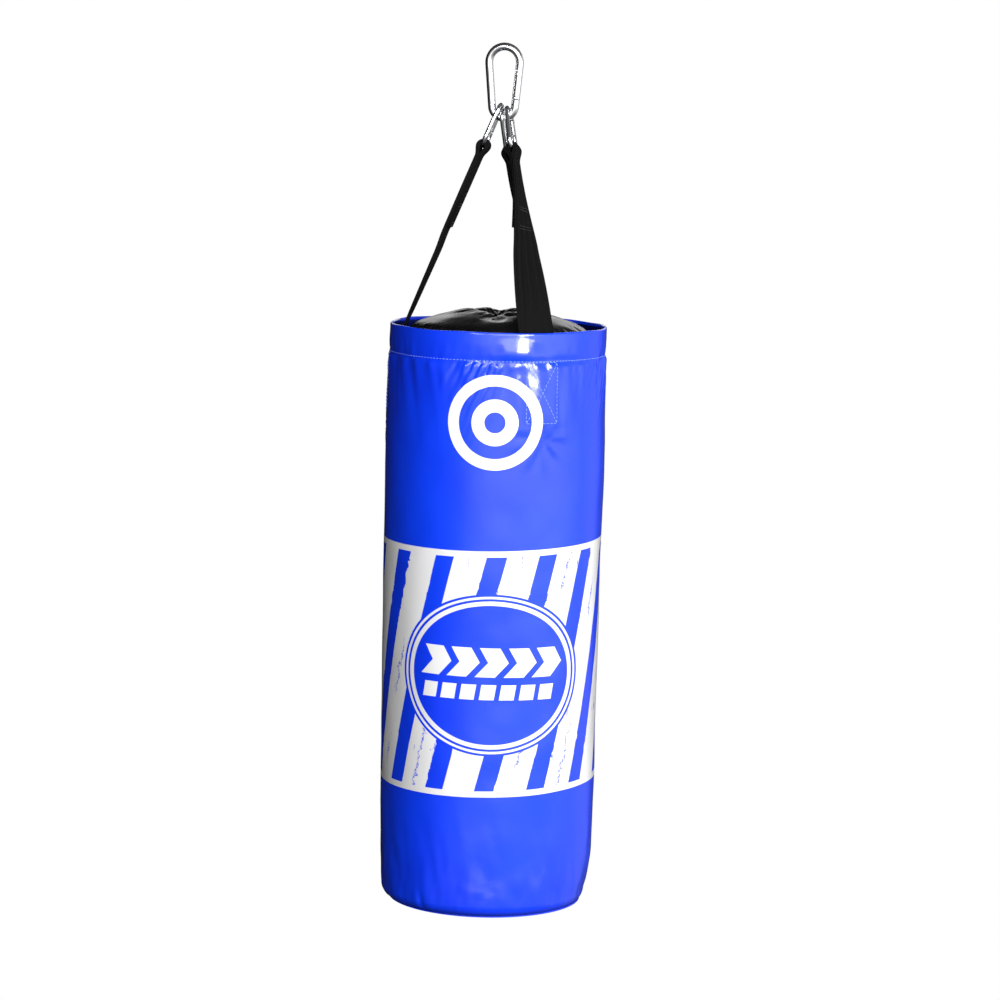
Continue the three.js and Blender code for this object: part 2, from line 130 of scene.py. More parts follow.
def join(name, objects):
    """Joins objects that share a look into one piece."""
    bpy.ops.object.select_all(action="DESELECT")
    for obj in objects:
        obj.select_set(True)
    bpy.context.view_layer.objects.active = objects[0]
    bpy.ops.object.join()
    objects[0].name = name
    return objects[0]


def apply_modifiers(obj):
    """Replaces the object's mesh with what its modifiers make of it."""
    graph = bpy.context.evaluated_depsgraph_get()
    mesh = bpy.data.meshes.new_from_object(obj.evaluated_get(graph), depsgraph=graph)
    obj.modifiers.clear()
    obj.data = mesh


def place(obj, body, slot, *nodes):
    """Rides the piece on its body, and hides the CAD nodes that it stands for. Its finish, slot, is not
    used.
    """
    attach(obj, body)
    if nodes:
        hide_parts(*nodes)
    return obj


def unit(v):
    return v / np.linalg.norm(v)


def ease(t):
    """0 up to t = 0, 1 from t = 1, and smooth between them."""
    t = np.clip(t, 0, 1)
    return t * t * (3 - 2 * t)


def bump_at(value, centre, width):
    """A smooth bump of height 1 at centre."""
    return np.exp(-(((value - centre) / width) ** 2))


def lumps(x, y, z, seed):
    """Smooth noise from -1 to 1 at each point of three arrays."""
    shape = np.broadcast(x, y, z).shape
    flat = zip(*(np.broadcast_to(a, shape).ravel() for a in (x, y, z)))
    return np.array([noise.noise((a + seed, b - seed, c + 2 * seed)) for a, b, c in flat]).reshape(shape)


def travelled(points):
    """How far along a line of points each one is."""
    return np.concatenate([[0], np.cumsum(np.linalg.norm(np.diff(points, axis=0), axis=1))])


def turn_of(columns):
    """Azimuths once round the bag."""
    return np.linspace(-math.pi, math.pi, columns, endpoint=False)


def away_from(azimuth, degrees):
    """Azimuths measured from another one, from -pi to pi."""
    return (azimuth - math.radians(degrees) + math.pi) % (2 * math.pi) - math.pi


def around(azimuth, radius, z):
    """Points at azimuths (radians, from the bag's front towards +X), radii and heights, each an
    array or one number."""
    return np.stack(np.broadcast_arrays(radius * np.sin(azimuth), -radius * np.cos(azimuth), z), -1)


# ------------------------ shader nodes


def connect(socket, value):
    """Feeds a node's input with a constant, a Term or another node's output."""
    value = getattr(value, "source", value)
    if isinstance(value, bpy.types.NodeSocket):
        socket.id_data.links.new(value, socket)
    else:
        socket.default_value = value


def feed(node, **values):
    """Connects a node's inputs by name, with _ where a name has a space."""
    for name, value in values.items():
        connect(node.inputs[name.replace("_", " ")], value)


def add_node(tree, kind, **values):
    node = tree.nodes.new("ShaderNode" + kind)
    feed(node, **values)
    return node


class Term:
    """One number in a shader's node tree, so that a pattern reads as arithmetic."""

    def __init__(self, source):
        self.source = source

    def _math(self, operation, *others):
        node = add_node(self.source.id_data, "Math")
        node.operation = operation
        for socket, value in zip(node.inputs, (self, *others)):
            connect(socket, value)
        return Term(node.outputs[0])

    __add__ = partialmethod(_math, "ADD")
    __sub__ = partialmethod(_math, "SUBTRACT")
    __mul__ = partialmethod(_math, "MULTIPLY")
    __truediv__ = partialmethod(_math, "DIVIDE")
    greater = partialmethod(_math, "MAXIMUM")
    abs = partialmethod(_math, "ABSOLUTE")
    sin = partialmethod(_math, "SINE")
    sqrt = partialmethod(_math, "SQRT")

    def over(self, low, high):
        """0 below low, 1 above high, and smooth between them."""
        node = add_node(self.source.id_data, "MapRange", Value=self, From_Min=low, From_Max=high)
        node.interpolation_type = "SMOOTHSTEP"
        return Term(node.outputs["Result"])

    def wrap(self, period):
        """The remainder after division by the period, centred on 0."""
        return (self / period + 0.5)._math("FLOORED_MODULO", 1.0) * period - 0.5 * period

    def invert(self):
        return self * -1.0 + 1.0


EDGE = 0.00018


def inside(distance, limit, soft=EDGE):
    """1 where distance is under the limit."""
    return distance.over(limit - soft, limit + soft).invert()


class Look:
    """A material in the making: its node tree and shader, and the patterns that feed them."""

    def __init__(self, name):
        self.material = bpy.data.materials.new(name)
        self.material.use_nodes = True
        self.tree = self.material.node_tree
        self.shader = self.tree.nodes["Principled BSDF"]
        self.place = add_node(self.tree, "TexCoord").outputs["Object"]

    def cloth(self):
        """The piece's own cloth coordinates, (metres across, metres along)."""
        uv = add_node(self.tree, "UVMap")
        uv.uv_map = "cloth"
        split = add_node(self.tree, "SeparateXYZ", Vector=uv.outputs["UV"])
        return Term(split.outputs[0]), Term(split.outputs[1])

    def noise(self, scale, detail=3.0, roughness=0.5, distortion=0.0, stretch=None):
        """Noise that stays with the piece as its body moves."""
        vector = self.place
        if stretch:
            vector = add_node(self.tree, "Mapping", Vector=vector, Scale=stretch).outputs["Vector"]
        node = add_node(self.tree, "TexNoise", Vector=vector, Scale=scale, Detail=detail,
                        Roughness=roughness, Distortion=distortion)
        return Term(node.outputs["Fac"])

    def mix(self, factor, first, second):
        """first where factor is 0 and second where it is 1. A colour is a tuple or a socket."""
        node = add_node(self.tree, "Mix", Factor=factor)
        node.data_type = "RGBA"
        for socket, colour in zip(node.inputs[6:8], (first, second)):
            connect(socket, (*colour, 1.0) if isinstance(colour, tuple) else colour)
        return node.outputs[2]

    def bump(self, height, distance, strength=1.0):
        node = add_node(self.tree, "Bump", Strength=strength, Distance=distance, Height=height)
        feed(self.shader, Normal=node.outputs["Normal"])

    def finish(self, colour, roughness, **others):
        """Feeds the shader, and gives the finished material."""
        feed(self.shader, Base_Color=colour, Roughness=roughness, **others)
        return self.material


BLUE = (0.004, 0.050, 0.88)
DEEP_BLUE = (0.004, 0.036, 0.80)
# Painted shade: the hem's face inside the rim is coloured near-black navy, where the inside of the bag
# lies in shade.
PAINTED_INSIDE_SHADE = (0.002, 0.008, 0.10)
WHITE = (0.80, 0.80, 0.81)
BAND_TOP = -0.4982
BAND_BOTTOM = -0.7505
STRIPES = 13
STRIPE_LEAN = math.radians(14.4)


def target_mask(across, height):
    """White rings of a plain round target near the rim."""
    dx = across + 0.0006
    dz = height - (RIM_Z - 0.0905)
    radius = (dx * dx + dz * dz).sqrt()
    disc = inside(radius, 0.048)
    ring = inside(radius, 0.0365) * inside(radius, 0.0235).invert()
    dot = inside(radius, 0.0105)
    return disc * ring.invert() * dot.invert()


def stripe_mask(look, across, height):
    """White band with slanted blue stripes whose edges are a little worn."""
    period = 2 * math.pi * GIRTH_RADIUS / STRIPES
    wear = look.noise(95, detail=5, roughness=0.72) - 0.5
    chip = look.noise(19, detail=2).over(0.50, 0.66)
    slant = across - (height - (BAND_BOTTOM + 0.006)) * math.tan(STRIPE_LEAN) + 0.0028
    offset = slant.wrap(period).abs() + wear * chip * 0.013
    stripe = inside(offset, 0.0102)
    middle = 0.5 * (BAND_TOP + BAND_BOTTOM)
    half = 0.5 * (BAND_TOP - BAND_BOTTOM)
    from_middle = (height - middle).abs()
    rows = inside(from_middle, half - 0.0062)
    fleck = look.noise(130, detail=6, roughness=0.75, stretch=(1.0, 1.0, 0.28))
    fleck = fleck.over(0.60, 0.62) * look.noise(14, detail=1).over(0.56, 0.62)
    gap = (slant - 0.5 * period).wrap(period) + wear * 0.024
    worn_gap = look.noise(8.5, detail=1).over(0.56, 0.63)
    crack = inside(gap.abs(), 0.0008, 0.0003) * worn_gap
    blue = stripe.greater(fleck * 0.9).greater(crack * 0.85) * rows
    return inside(from_middle, half) * blue.invert()


OVAL_HALF_WIDTH = 0.0955
OVAL_HALF_HEIGHT = 0.0795


def emblem_mask(across, height):
    """Five plain chevrons over a row of leaning dashes."""
    lean = across - height * 0.16
    upper = (height - 0.0130).abs()
    lower = (height + 0.0175).abs()
    point = lean + upper * 0.75 - 0.0055
    chevrons = inside(upper, 0.0150) * inside(point.abs(), 0.0720)
    chevrons = chevrons * inside(point.wrap(0.0294).abs(), 0.0104)
    dashes = inside(lower, 0.0078) * inside(lean.abs(), 0.0715)
    dashes = dashes * inside(lean.wrap(0.0204).abs(), 0.0076)
    return chevrons.greater(dashes)


def badge_masks(across, height):
    """(area of the badge, its white lines): a plain oval with two outlines and an emblem."""
    x, z = across - 0.0015, height + 0.6250
    u, v = x / OVAL_HALF_WIDTH, z / OVAL_HALF_HEIGHT
    from_edge = ((u * u + v * v).sqrt() - 1.0) * OVAL_HALF_HEIGHT
    outlines = inside(from_edge.abs(), 0.0012).greater(inside((from_edge + 0.0058).abs(), 0.0022))
    return inside(from_edge, 0.0036), outlines.greater(emblem_mask(x, z))


def tarpaulin_material():
    """Glossy coated fabric: strong blue with the printed band, badge and target, and painted shade on the
    hem's face inside the rim.
    """
    look = Look("blue_tarpaulin")
    across, height = look.cloth()
    askew = (across * (1 / GIRTH_RADIUS) - math.radians(45)).sin() * 0.0040 + 0.0028
    area, lines = badge_masks(across, height)
    band = stripe_mask(look, across, height - askew)
    white = (band * area.invert()).greater(lines).greater(target_mask(across, height))
    tone = look.noise(5.0, detail=4, roughness=0.6)
    blue = look.mix(tone.over(0.35, 0.7), BLUE, DEEP_BLUE)
    scuff = look.noise(60, detail=8, roughness=0.8, stretch=(1.0, 1.0, 2.6))
    scuff = scuff.over(0.66, 0.78) * look.noise(7, detail=2).over(0.52, 0.68)
    low = height.over(BOTTOM_Z + 0.03, BOTTOM_Z + 0.12).invert()
    blue = look.mix(scuff * (low * 0.28 + 0.05), blue, (0.16, 0.24, 0.95))
    grime = look.noise(38, detail=7, roughness=0.7).over(0.45, 0.85)
    ink = look.mix(grime * 0.35, WHITE, (0.78, 0.79, 0.81))
    # Painted shade: the hem's rows inside the rim, marked by their cloth coordinates, take the near-black
    # navy instead of the blue and print.
    painted_shade_inside = height.over(0.8, 1.2)
    outer = look.mix(white, blue, ink)
    smudge = look.noise(24, detail=5, roughness=0.65)
    colour = look.mix(painted_shade_inside, outer, PAINTED_INSIDE_SHADE)
    rough = smudge * 0.10 + 0.09 + white * 0.06
    threads = 2 * math.pi / 0.0011
    weave = (across * threads).sin() * (height * threads).sin()
    fine = look.noise(420, detail=3)
    ripple = look.noise(55, detail=4, roughness=0.6)
    look.bump(weave * 0.05 + fine * 0.10 + ripple * 0.9 + white * 0.12, 0.0006, 0.35)
    return look.finish(colour, rough, IOR=1.5, Coat_Weight=0.25, Coat_Roughness=0.07)


def vinyl_material():
    """Soft black vinyl sheet with creases and dust."""
    look = Look("black_vinyl")
    dust = look.noise(30, detail=7, roughness=0.7).over(0.5, 0.85)
    colour = look.mix(dust * 0.5, (0.003, 0.003, 0.0035), (0.010, 0.010, 0.012))
    rough = look.noise(45, detail=5) * 0.16 + 0.20
    crease = look.noise(70, detail=6, roughness=0.6, distortion=0.8)
    grain = look.noise(900, detail=2)
    look.bump(crease + grain * 0.08, 0.0009, 0.12)
    return look.finish(colour, rough, Specular_IOR_Level=0.42)


def webbing_material(name, rib=0.00135, shade=(0.0012, 0.0012, 0.0014)):
    """Woven black webbing: cross ribs with a herringbone in them."""
    look = Look(name)
    across, along = look.cloth()
    zigzag = across.wrap(0.0095).abs()
    diagonal = ((along + zigzag * 0.8) * (2 * math.pi / rib)).sin()
    warp = (across * (2 * math.pi / (0.75 * rib))).sin()
    thread = diagonal * 0.5 + warp * 0.3
    fuzz = look.noise(1400, detail=3, roughness=0.7)
    worn = look.noise(26, detail=6, roughness=0.7).over(0.5, 0.8)
    light = tuple(min(1.0, 3.4 * c) for c in shade)
    tone = (thread * 0.35 + 0.4 + fuzz * 0.3) * (worn * 0.5 + 0.5)
    look.bump(thread + fuzz * 0.7, 0.00028, 0.8)
    colour = look.mix(tone.over(0.1, 1.0), shade, light)
    return look.finish(colour, fuzz * 0.2 + 0.58, Specular_IOR_Level=0.13)


def chrome_material(name, colour, rough_low, rough_high):
    """Plated wire: bright, with faint drawing lines and finger smudges."""
    look = Look(name)
    smudge = look.noise(120, detail=5, roughness=0.65)
    dull = tuple(0.82 * c for c in colour)
    rough = smudge.over(0.3, 0.8) * (rough_high - rough_low) + rough_low
    scratch = look.noise(900, detail=4, roughness=0.6, stretch=(1.0, 1.0, 0.12))
    look.bump(scratch + smudge * 1.4, 0.00012, 0.35)
    return look.finish(look.mix(smudge.over(0.4, 0.8) * 0.5, colour, dull), rough, Metallic=1.0)


def thread_material(name, shade, light):
    """Twisted sewing thread."""
    look = Look(name)
    twist = look.noise(2600, detail=2)
    look.bump(twist, 0.0001, 0.5)
    return look.finish(look.mix(twist.over(0.35, 0.7), shade, light), twist * 0.2 + 0.45)


def textile_material():
    """Matted grey textile offcuts."""
    look = Look("textile")
    scrap = look.noise(34, detail=6, roughness=0.8)
    colour = look.mix(scrap.over(0.3, 0.7), (0.10, 0.11, 0.14), (0.42, 0.41, 0.40))
    look.bump(scrap, 0.004, 0.8)
    return look.finish(colour, 0.95)


# ------------------------ studio


def make_camera():
    """The view: a long lens a little above the hook, looking down at the bag."""
    pitch, yaw, roll = math.radians(7.5446), math.radians(0.1065), 0.0252
    data = bpy.data.cameras.new("camera")
    data.sensor_width = 36
    data.lens = 124.57
    camera = bpy.data.objects.new("camera", data)
    camera.matrix_world = (
        Matrix.Translation((0.0, -3.5458, 0.00873)) @ Matrix.Rotation(-yaw, 4, "Z")
        @ Matrix.Rotation(math.pi / 2 - pitch, 4, "X") @ Matrix.Rotation(roll, 4, "Z"))
    bpy.context.scene.collection.objects.link(camera)
    bpy.context.scene.camera = camera


def area_light(name, azimuth, elevation, distance, width, height, power, aim_z=-0.5, mirrored=True):
    """A soft box that looks at the bag from an azimuth measured from the front towards +X.
    mirrored says whether glossy surfaces show it."""
    data = bpy.data.lights.new(name, "AREA")
    data.shape = "RECTANGLE"
    data.size, data.size_y = width, height
    data.energy = power
    light = bpy.data.objects.new(name, data)
    a, e = math.radians(azimuth), math.radians(elevation)
    away = Vector((math.sin(a) * math.cos(e), -math.cos(a) * math.cos(e), math.sin(e)))
    aim = Vector((0, 0, aim_z))
    light.location = aim + away * distance
    light.rotation_euler = away.to_track_quat("Z", "Y").to_euler()
    light.visible_glossy = mirrored
    bpy.context.scene.collection.objects.link(light)


def make_world():
    """White to look at. It lights the bag most from the front right, and is dark to the back
    left, overhead and below, so that the bag has the edges and dark sides of a lit studio."""
    world = bpy.data.worlds.new("studio")
    bpy.context.scene.world = world
    world.use_nodes = True
    tree = world.node_tree
    background = tree.nodes["Background"]
    direction = add_node(tree, "TexCoord").outputs["Generated"]
    height = Term(add_node(tree, "SeparateXYZ", Vector=direction).outputs[2])

    def towards(*axis):
        """The cosine of the angle between the direction looked in and an axis."""
        node = add_node(tree, "VectorMath")
        node.operation = "DOT_PRODUCT"
        connect(node.inputs[0], direction)
        connect(node.inputs[1], Vector(axis).normalized())
        return Term(node.outputs["Value"])

    dark_left = towards(-0.80, 0.60, -0.05).over(-0.55, 0.70)
    level_back = towards(0.0, 1.0, 0.0).over(0.60, 0.86) * height.over(-0.03, 0.05).invert()
    dark = dark_left.greater(level_back * 0.88)
    overhead = height.over(0.22, 0.60)
    below = height.over(-0.70, -0.30).invert()
    bright_right = towards(0.96, -0.25, 0.10).over(0.35, 1.0)
    near_level = height.over(-0.24, -0.12) * height.over(0.02, 0.20).invert()
    veil = towards(0.53, -0.85, -0.08).over(0.30, 0.95) * near_level
    lit = (bright_right * 0.12 + 0.52) * dark.invert()
    lit = lit * (overhead * -0.78 + 1.0) * (below * -0.75 + 1.0) + veil * 1.5 + 0.012
    seen = Term(add_node(tree, "LightPath").outputs["Is Camera Ray"])
    feed(background, Color=(1, 1, 1, 1), Strength=seen + seen.invert() * lit)


def make_floor():
    """A pale floor well below the bag, as under a bag that hangs."""
    look = Look("floor_pale")
    tone = look.mix(look.noise(1.5, detail=3), (0.93, 0.93, 0.93), (0.96, 0.96, 0.96))
    paint = look.finish(
        tone, 0.9, Specular_IOR_Level=0.1, Emission_Color=(1, 1, 1, 1), Emission_Strength=0.62)
    reach, low, sides = 3.0, -1.9, 96
    angles = [2 * math.pi * k / sides for k in range(sides)]
    corners = [(reach * math.cos(a), reach * math.sin(a), low) for a in angles]
    floor = add_object("floor", corners, [range(sides)], paint)
    floor.visible_glossy = False
    floor.visible_diffuse = False


# ------------------------ bag shell

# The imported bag's plain outside, without its lumps: (height, radius).
TUBE_OUTSIDE = [(-0.8642, 0.1103), (-0.820, 0.1108), (-0.700, 0.1112), (-0.560, 0.1121),
                (-0.450, 0.1130), (-0.400, 0.1130), (-0.330, 0.1121), (-0.307, 0.1112),
                (-0.290, 0.1117), (-0.278, 0.1115)]
HEM_ROWS = 16


def tube_radius(z):
    return np.interp(z, *zip(*TUBE_OUTSIDE))


# Where the cloth under the hem is drawn into small slanting gathers: (share, azimuth, width).
GATHERS = [(1.0, -0.17, 0.20), (0.5, 1.2, 0.3), (0.5, -2.0, 0.5)]


def wall_relief(azimuth, z):
    """How far the wall stands out from its plain radius: lumps of filling, the pinch of the hem
    stitching and its puckers, the pull of the straps and slack near the base."""
    drop = RIM_Z - z
    arc = azimuth * GIRTH_RADIUS
    cx, cy = np.sin(azimuth), -np.cos(azimuth)

    # Lumps of filling, and the pinch and puckers of the hem's stitching.
    relief = 0.0011 * lumps(cx * 1.6, cy * 1.6, z * 9, 3.1)
    relief += 0.00045 * lumps(cx * 4, cy * 4, z * 30, 7.7)
    relief -= 0.0007 * bump_at(drop, HEM_STITCH_DROP, 0.0035)
    fine = lumps(cx * 16, cy * 16, z * 60, 1.3)
    broad = lumps(cx * 7, cy * 7, z * 22, 5.2)
    hem_zone = bump_at(drop, HEM_STITCH_DROP, 0.014)
    relief += hem_zone * (0.0007 * fine + 0.0008 * broad)
    under_hem = drop - HEM_STITCH_DROP
    below = ease(under_hem / 0.006) * np.exp(-np.clip(under_hem, 0, 1) / 0.030)
    tilt = lumps(cx * 11 + z * 14, cy * 11 - z * 10, z * 5, 9.4)
    slanted = np.sin(2 * math.pi * (arc + 0.45 * drop) / 0.0085 + 2.5 * tilt)
    gathers = sum(share * bump_at(azimuth, centre, width) for share, centre, width in GATHERS)
    relief += 0.0016 * gathers * below * slanted
    relief += below * 0.0027 * np.clip(tilt + 0.15, -0.4, 1)

    # Each strap seats against the wall, and its box of stitching pulls short rays below it.
    for strap in STRAPS.values():
        sideways = away_from(azimuth, strap["azimuth"]) * GIRTH_RADIUS
        seat = bump_at(sideways, 0, 0.024)
        relief += strap["seat"] * seat * bump_at(drop, 0.078, 0.036)
        relief -= 0.0012 * seat * bump_at(drop, 0.006, 0.012)
        edge = bump_at(np.abs(sideways), 0.021, 0.0045)
        relief -= 0.0008 * edge * bump_at(drop, 0.070, 0.030)
        below_box = drop - 0.105
        rays = np.cos(np.arctan2(below_box, sideways) * 9)
        rays = rays * bump_at(np.hypot(sideways, below_box), 0.018, 0.016)
        relief += 0.0005 * rays * ease((drop - 0.090) / 0.01)

    # A bulge in the hem right of the middle, and one crease under it to the left.
    bulge = bump_at(away_from(azimuth, 9) * GIRTH_RADIUS, 0.0, 0.016)
    relief += 0.0021 * bulge * bump_at(drop, 0.0215, 0.0110)
    crease = bump_at(away_from(azimuth, -28) * GIRTH_RADIUS, 0.0, 0.0036)
    relief += 0.0013 * crease * bump_at(drop, 0.046, 0.013)

    # Slack cloth near the base, drawn in at the right and a little at the left.
    above_base = z - BOTTOM_Z
    loose = 0.0013 * lumps(cx * 5, cy * 5, z * 24, 2.2)
    loose = loose + 0.0006 * lumps(cx * 14, cy * 14, z * 50, 6.1)
    relief += bump_at(above_base, 0.030, 0.030) * loose
    folds = lumps(cx * 9 + z * 20, cy * 9, z * 12, 4.4)
    relief += 0.0006 * bump_at(above_base, 0.055, 0.05) * folds
    relief -= 0.0100 * bump_at(azimuth, 1.45, 0.75) * np.clip(1 - above_base / 0.060, 0, 1) ** 2
    relief -= 0.0030 * bump_at(azimuth, -1.55, 0.60) * np.clip(1 - above_base / 0.100, 0, 1)
    pleat = bump_at(azimuth + 2.2 * above_base, -0.60, 0.035)
    relief -= 0.0016 * pleat * bump_at(above_base, 0.010, 0.014)
    ridge = above_base - 0.0250 + 0.032 * azimuth
    relief += 0.0006 * bump_at(ridge, 0.0, 0.0026) * bump_at(azimuth, -0.05, 0.22)
    return relief


def shell_profile():
    """(radius, height, share of the wall's relief) along the middle of the sheet, from the flange
    under the disc's edge, up the wall, over the rim and down inside to the hem's lower edge."""
    half = TARPAULIN / 2
    flange_z = BOTTOM_Z + 0.0018 + half
    centre_z = flange_z - half + CORNER_RADIUS
    profile = [(r, flange_z, 0.0) for r in np.linspace(FLANGE_RADIUS, CORNER_CENTRE_RADIUS, 6)[:-1]]
    reach = CORNER_RADIUS - half
    for angle in np.linspace(-90, 0, 10):
        a = math.radians(angle)
        share = 0.15 + 0.85 * (angle + 90) / 90
        radius, z = CORNER_CENTRE_RADIUS + reach * math.cos(a), centre_z + reach * math.sin(a)
        profile.append((radius, z, share))
    top = RIM_Z - 0.0016
    coarse, fine = np.linspace(centre_z, -0.36, 118)[1:], np.linspace(-0.36, top, 44)[1:]
    for z in (*coarse, *fine):
        profile.append((tube_radius(z) - half, z, 1.0))
    rim_radius = tube_radius(RIM_Z) - half
    fold = 0.00085
    for angle in np.linspace(0, 180, 9)[1:-1]:
        a = math.radians(angle)
        profile.append((rim_radius - fold + fold * math.cos(a), top + (0.0016 - half) * math.sin(a), 1.0))
    for z in np.linspace(top, RIM_Z - HEM_HEIGHT, HEM_ROWS):
        taper = 0.0001 * ease((RIM_Z - z) / 0.03)
        profile.append((tube_radius(z) - half - 2 * fold - taper, z, 1.0))
    return np.array(profile)


def rim_wave(azimuth):
    """How much the rim rises and falls round the bag."""
    return 0.0010 * lumps(np.sin(azimuth) * 3, np.cos(azimuth) * 3, np.zeros_like(azimuth), 8.8) - 0.0006


def make_side_panel(material):
    columns = 300
    profile = shell_profile()
    azimuth = turn_of(columns)
    radius, z, share = (profile[:, k][:, None] for k in range(3))
    azimuths, heights = np.broadcast_arrays(azimuth[None, :], z)
    reach = radius + wall_relief(azimuths, heights) * share
    lift = rim_wave(azimuth)[None, :] * np.exp((z - RIM_Z) / 0.02)
    points = around(azimuth, reach, z + lift)
    girth = np.linspace(-math.pi, math.pi, columns + 1) * GIRTH_RADIUS
    # The hem's rows inside the rim are moved up in the cloth coordinates, so that the tarpaulin colours
    # them with painted shade.
    inside_rows = np.arange(len(profile)) > len(profile) - HEM_ROWS
    along = profile[:, 1] + 2.0 * inside_rows
    panel = surface("side_panel_shell", points, material, wrap=True, uv=(girth, along))
    solid = panel.modifiers.new("thickness", "SOLIDIFY")
    solid.thickness = TARPAULIN
    solid.offset = 0
    solid.use_quality_normals = False
    apply_modifiers(panel)
    return place(panel, "bag", "blue_tarpaulin", "side_panel")


def wall_point(azimuth, drop):
    """A point on the wall's outside, at an azimuth (radians) and a drop below the rim."""
    z = RIM_Z - drop
    reach = tube_radius(z) + float(wall_relief(np.asarray(azimuth, float), np.asarray(z, float)))
    lift = float(rim_wave(np.asarray(azimuth, float))) * math.exp(-drop / 0.02)
    return around(azimuth, reach, z + lift)


def stitch_mesh(name, runs, material, radius=0.00034, sides=7):
    """Stitches as short arched threads. Each is (start point, end point, outward direction)."""
    vertices, faces = [], []
    steps = 6
    for start, end, outward in runs:
        start, end, outward = np.array(start), np.array(end), np.array(outward)
        side = unit(np.cross(unit(end - start), outward))
        base = len(vertices)
        for i in range(steps + 1):
            t = i / steps
            arch = math.sin(math.pi * t)
            centre = start + (end - start) * t + outward * radius * (1.5 * arch ** 0.5 - 0.9)
            for k in range(sides):
                a = 2 * math.pi * k / sides
                vertices.append(centre + radius * (side * math.cos(a) + outward * math.sin(a) * 0.8))
        for i in range(steps):
            for k in range(sides):
                a, b = base + i * sides + k, base + i * sides + (k + 1) % sides
                faces.append((a, b, b + sides, a + sides))
        faces.append(tuple(base + k for k in range(sides))[::-1])
        faces.append(tuple(base + steps * sides + k for k in range(sides)))
    return add_object(name, vertices, faces, material)


def wall_stitches(path, pitch=0.0042, length=0.0031):
    """Stitches along a path of (azimuth, drop) corners on the outside of the wall."""
    runs = []
    for (a0, d0), (a1, d1) in zip(path[:-1], path[1:]):
        span = math.hypot((a1 - a0) * GIRTH_RADIUS, d1 - d0)
        count = max(1, round(span / pitch))
        for i in range(count):
            t0 = (i + 0.12) / count
            t1 = t0 + (length / pitch) / count
            ends = [wall_point(a0 + (a1 - a0) * t, d0 + (d1 - d0) * t) for t in (t0, t1)]
            middle = a0 + (a1 - a0) * 0.5 * (t0 + t1)
            runs.append((*ends, around(middle, 1, 0)))
    return runs


def make_wall_stitching(material):
    ring = [(math.radians(a), HEM_STITCH_DROP) for a in range(-180, 181, 10)]
    place(stitch_mesh("hem_stitches", wall_stitches(ring), material), "bag", "blue_tarpaulin")
    for name, strap in STRAPS.items():
        middle = math.radians(strap["azimuth"])
        left, right = middle - BOX_HALF / GIRTH_RADIUS, middle + BOX_HALF / GIRTH_RADIUS
        corners = [(left, BOX_TOP), (right, BOX_TOP), (right, BOX_LOW), (left, BOX_LOW)]
        paths = [[*corners, corners[0]], corners[0::2], corners[1::2]]
        runs = [run for path in paths for run in wall_stitches(path)]
        place(stitch_mesh(f"box_stitches_{name}", runs, material), "bag", "blue_tarpaulin")


def make_bottom_panel(material, thread):
    """The round base: a flat disc that dips a little between its seam and its middle."""
    columns = 160
    thickness = 0.0015
    radii = [0.0, 0.012, 0.03, 0.05, 0.07, 0.085, 0.0925, 0.095, 0.0975, 0.0992, DISC_RADIUS]
    azimuth = turn_of(columns)
    rows = []
    for radius in radii[1:]:
        seam = 0.0005 * bump_at(radius, BASE_SEAM_RADIUS, 0.0016)
        x, y = radius * np.sin(azimuth), radius * np.cos(azimuth)
        wave = 0.00022 * (1 + lumps(x * 60, y * 60, np.zeros_like(x), 5.5))
        lift = seam + wave * min(1.0, (DISC_RADIUS - radius) / 0.01)
        rows.append(around(azimuth, radius, BOTTOM_Z + lift))
    rows.append(rows[-1] * (1, 1, 0) + (0, 0, BOTTOM_Z + thickness))
    rows.append(rows[0] * (1, 1, 0) + (0, 0, BOTTOM_Z + thickness))
    girth = np.linspace(-math.pi, math.pi, columns + 1) * GIRTH_RADIUS
    along = np.linspace(BOTTOM_Z - 0.1, BOTTOM_Z, len(rows))
    rows = np.array(rows[::-1])
    disc = surface("bottom_disc", rows, material, wrap=True, caps=True, uv=(girth, along))
    disc.data.set_sharp_from_angle(angle=math.radians(50))
    place(disc, "bag", "blue_tarpaulin", "bottom_panel")
    runs = []
    pitch = 2 * math.pi / 140
    for i in range(140):
        start, end = around(np.array((i, i + 0.7)) * pitch, BASE_SEAM_RADIUS, BOTTOM_Z + 0.0006)
        runs.append((start, end, (0, 0, -1)))
    place(stitch_mesh("base_stitches", runs, thread, radius=0.0003), "bag", "blue_tarpaulin")


# ------------------------ sack, tie and filling

# The sack's top by (radius, height above the rim), from the wall to the neck and out to the frill.
SACK_TOP = [(0.1057, -0.060), (0.1056, -0.042), (0.1010, -0.0285), (0.0960, -0.0150),
            (0.0905, -0.0040), (0.0835, -0.0010), (0.0720, 0.0030), (0.0580, 0.0074),
            (0.0440, 0.0112), (0.0330, 0.0134), (0.0240, 0.0130), (0.0165, 0.0085),
            (0.0105, 0.0040), (0.0072, 0.0026), (0.0062, 0.0040), (0.0060, 0.0060),
            (0.0072, 0.0078), (0.0105, 0.0095), (0.0140, 0.0104), (0.0165, 0.0108)]

# Where the top is drawn down between its puffs: (azimuth in degrees, depth, width).
SACK_VALLEYS = [(-2, 1.0, 0.26), (64, 0.30, 0.16), (118, 0.5, 0.2), (176, 0.5, 0.2),
                (-70, 0.25, 0.16), (-128, 0.5, 0.2)]

# The sack's wall inside the bag, from its base up: (radius, height above the base).
SACK_WALL = [(0.002, 0), (0.05, 0), (0.090, 0), (0.0965, 0.003), (0.0995, 0.012), (0.1025, 0.030),
             (0.1055, 0.070), (0.1058, 0.10), (0.1058, 0.30)]


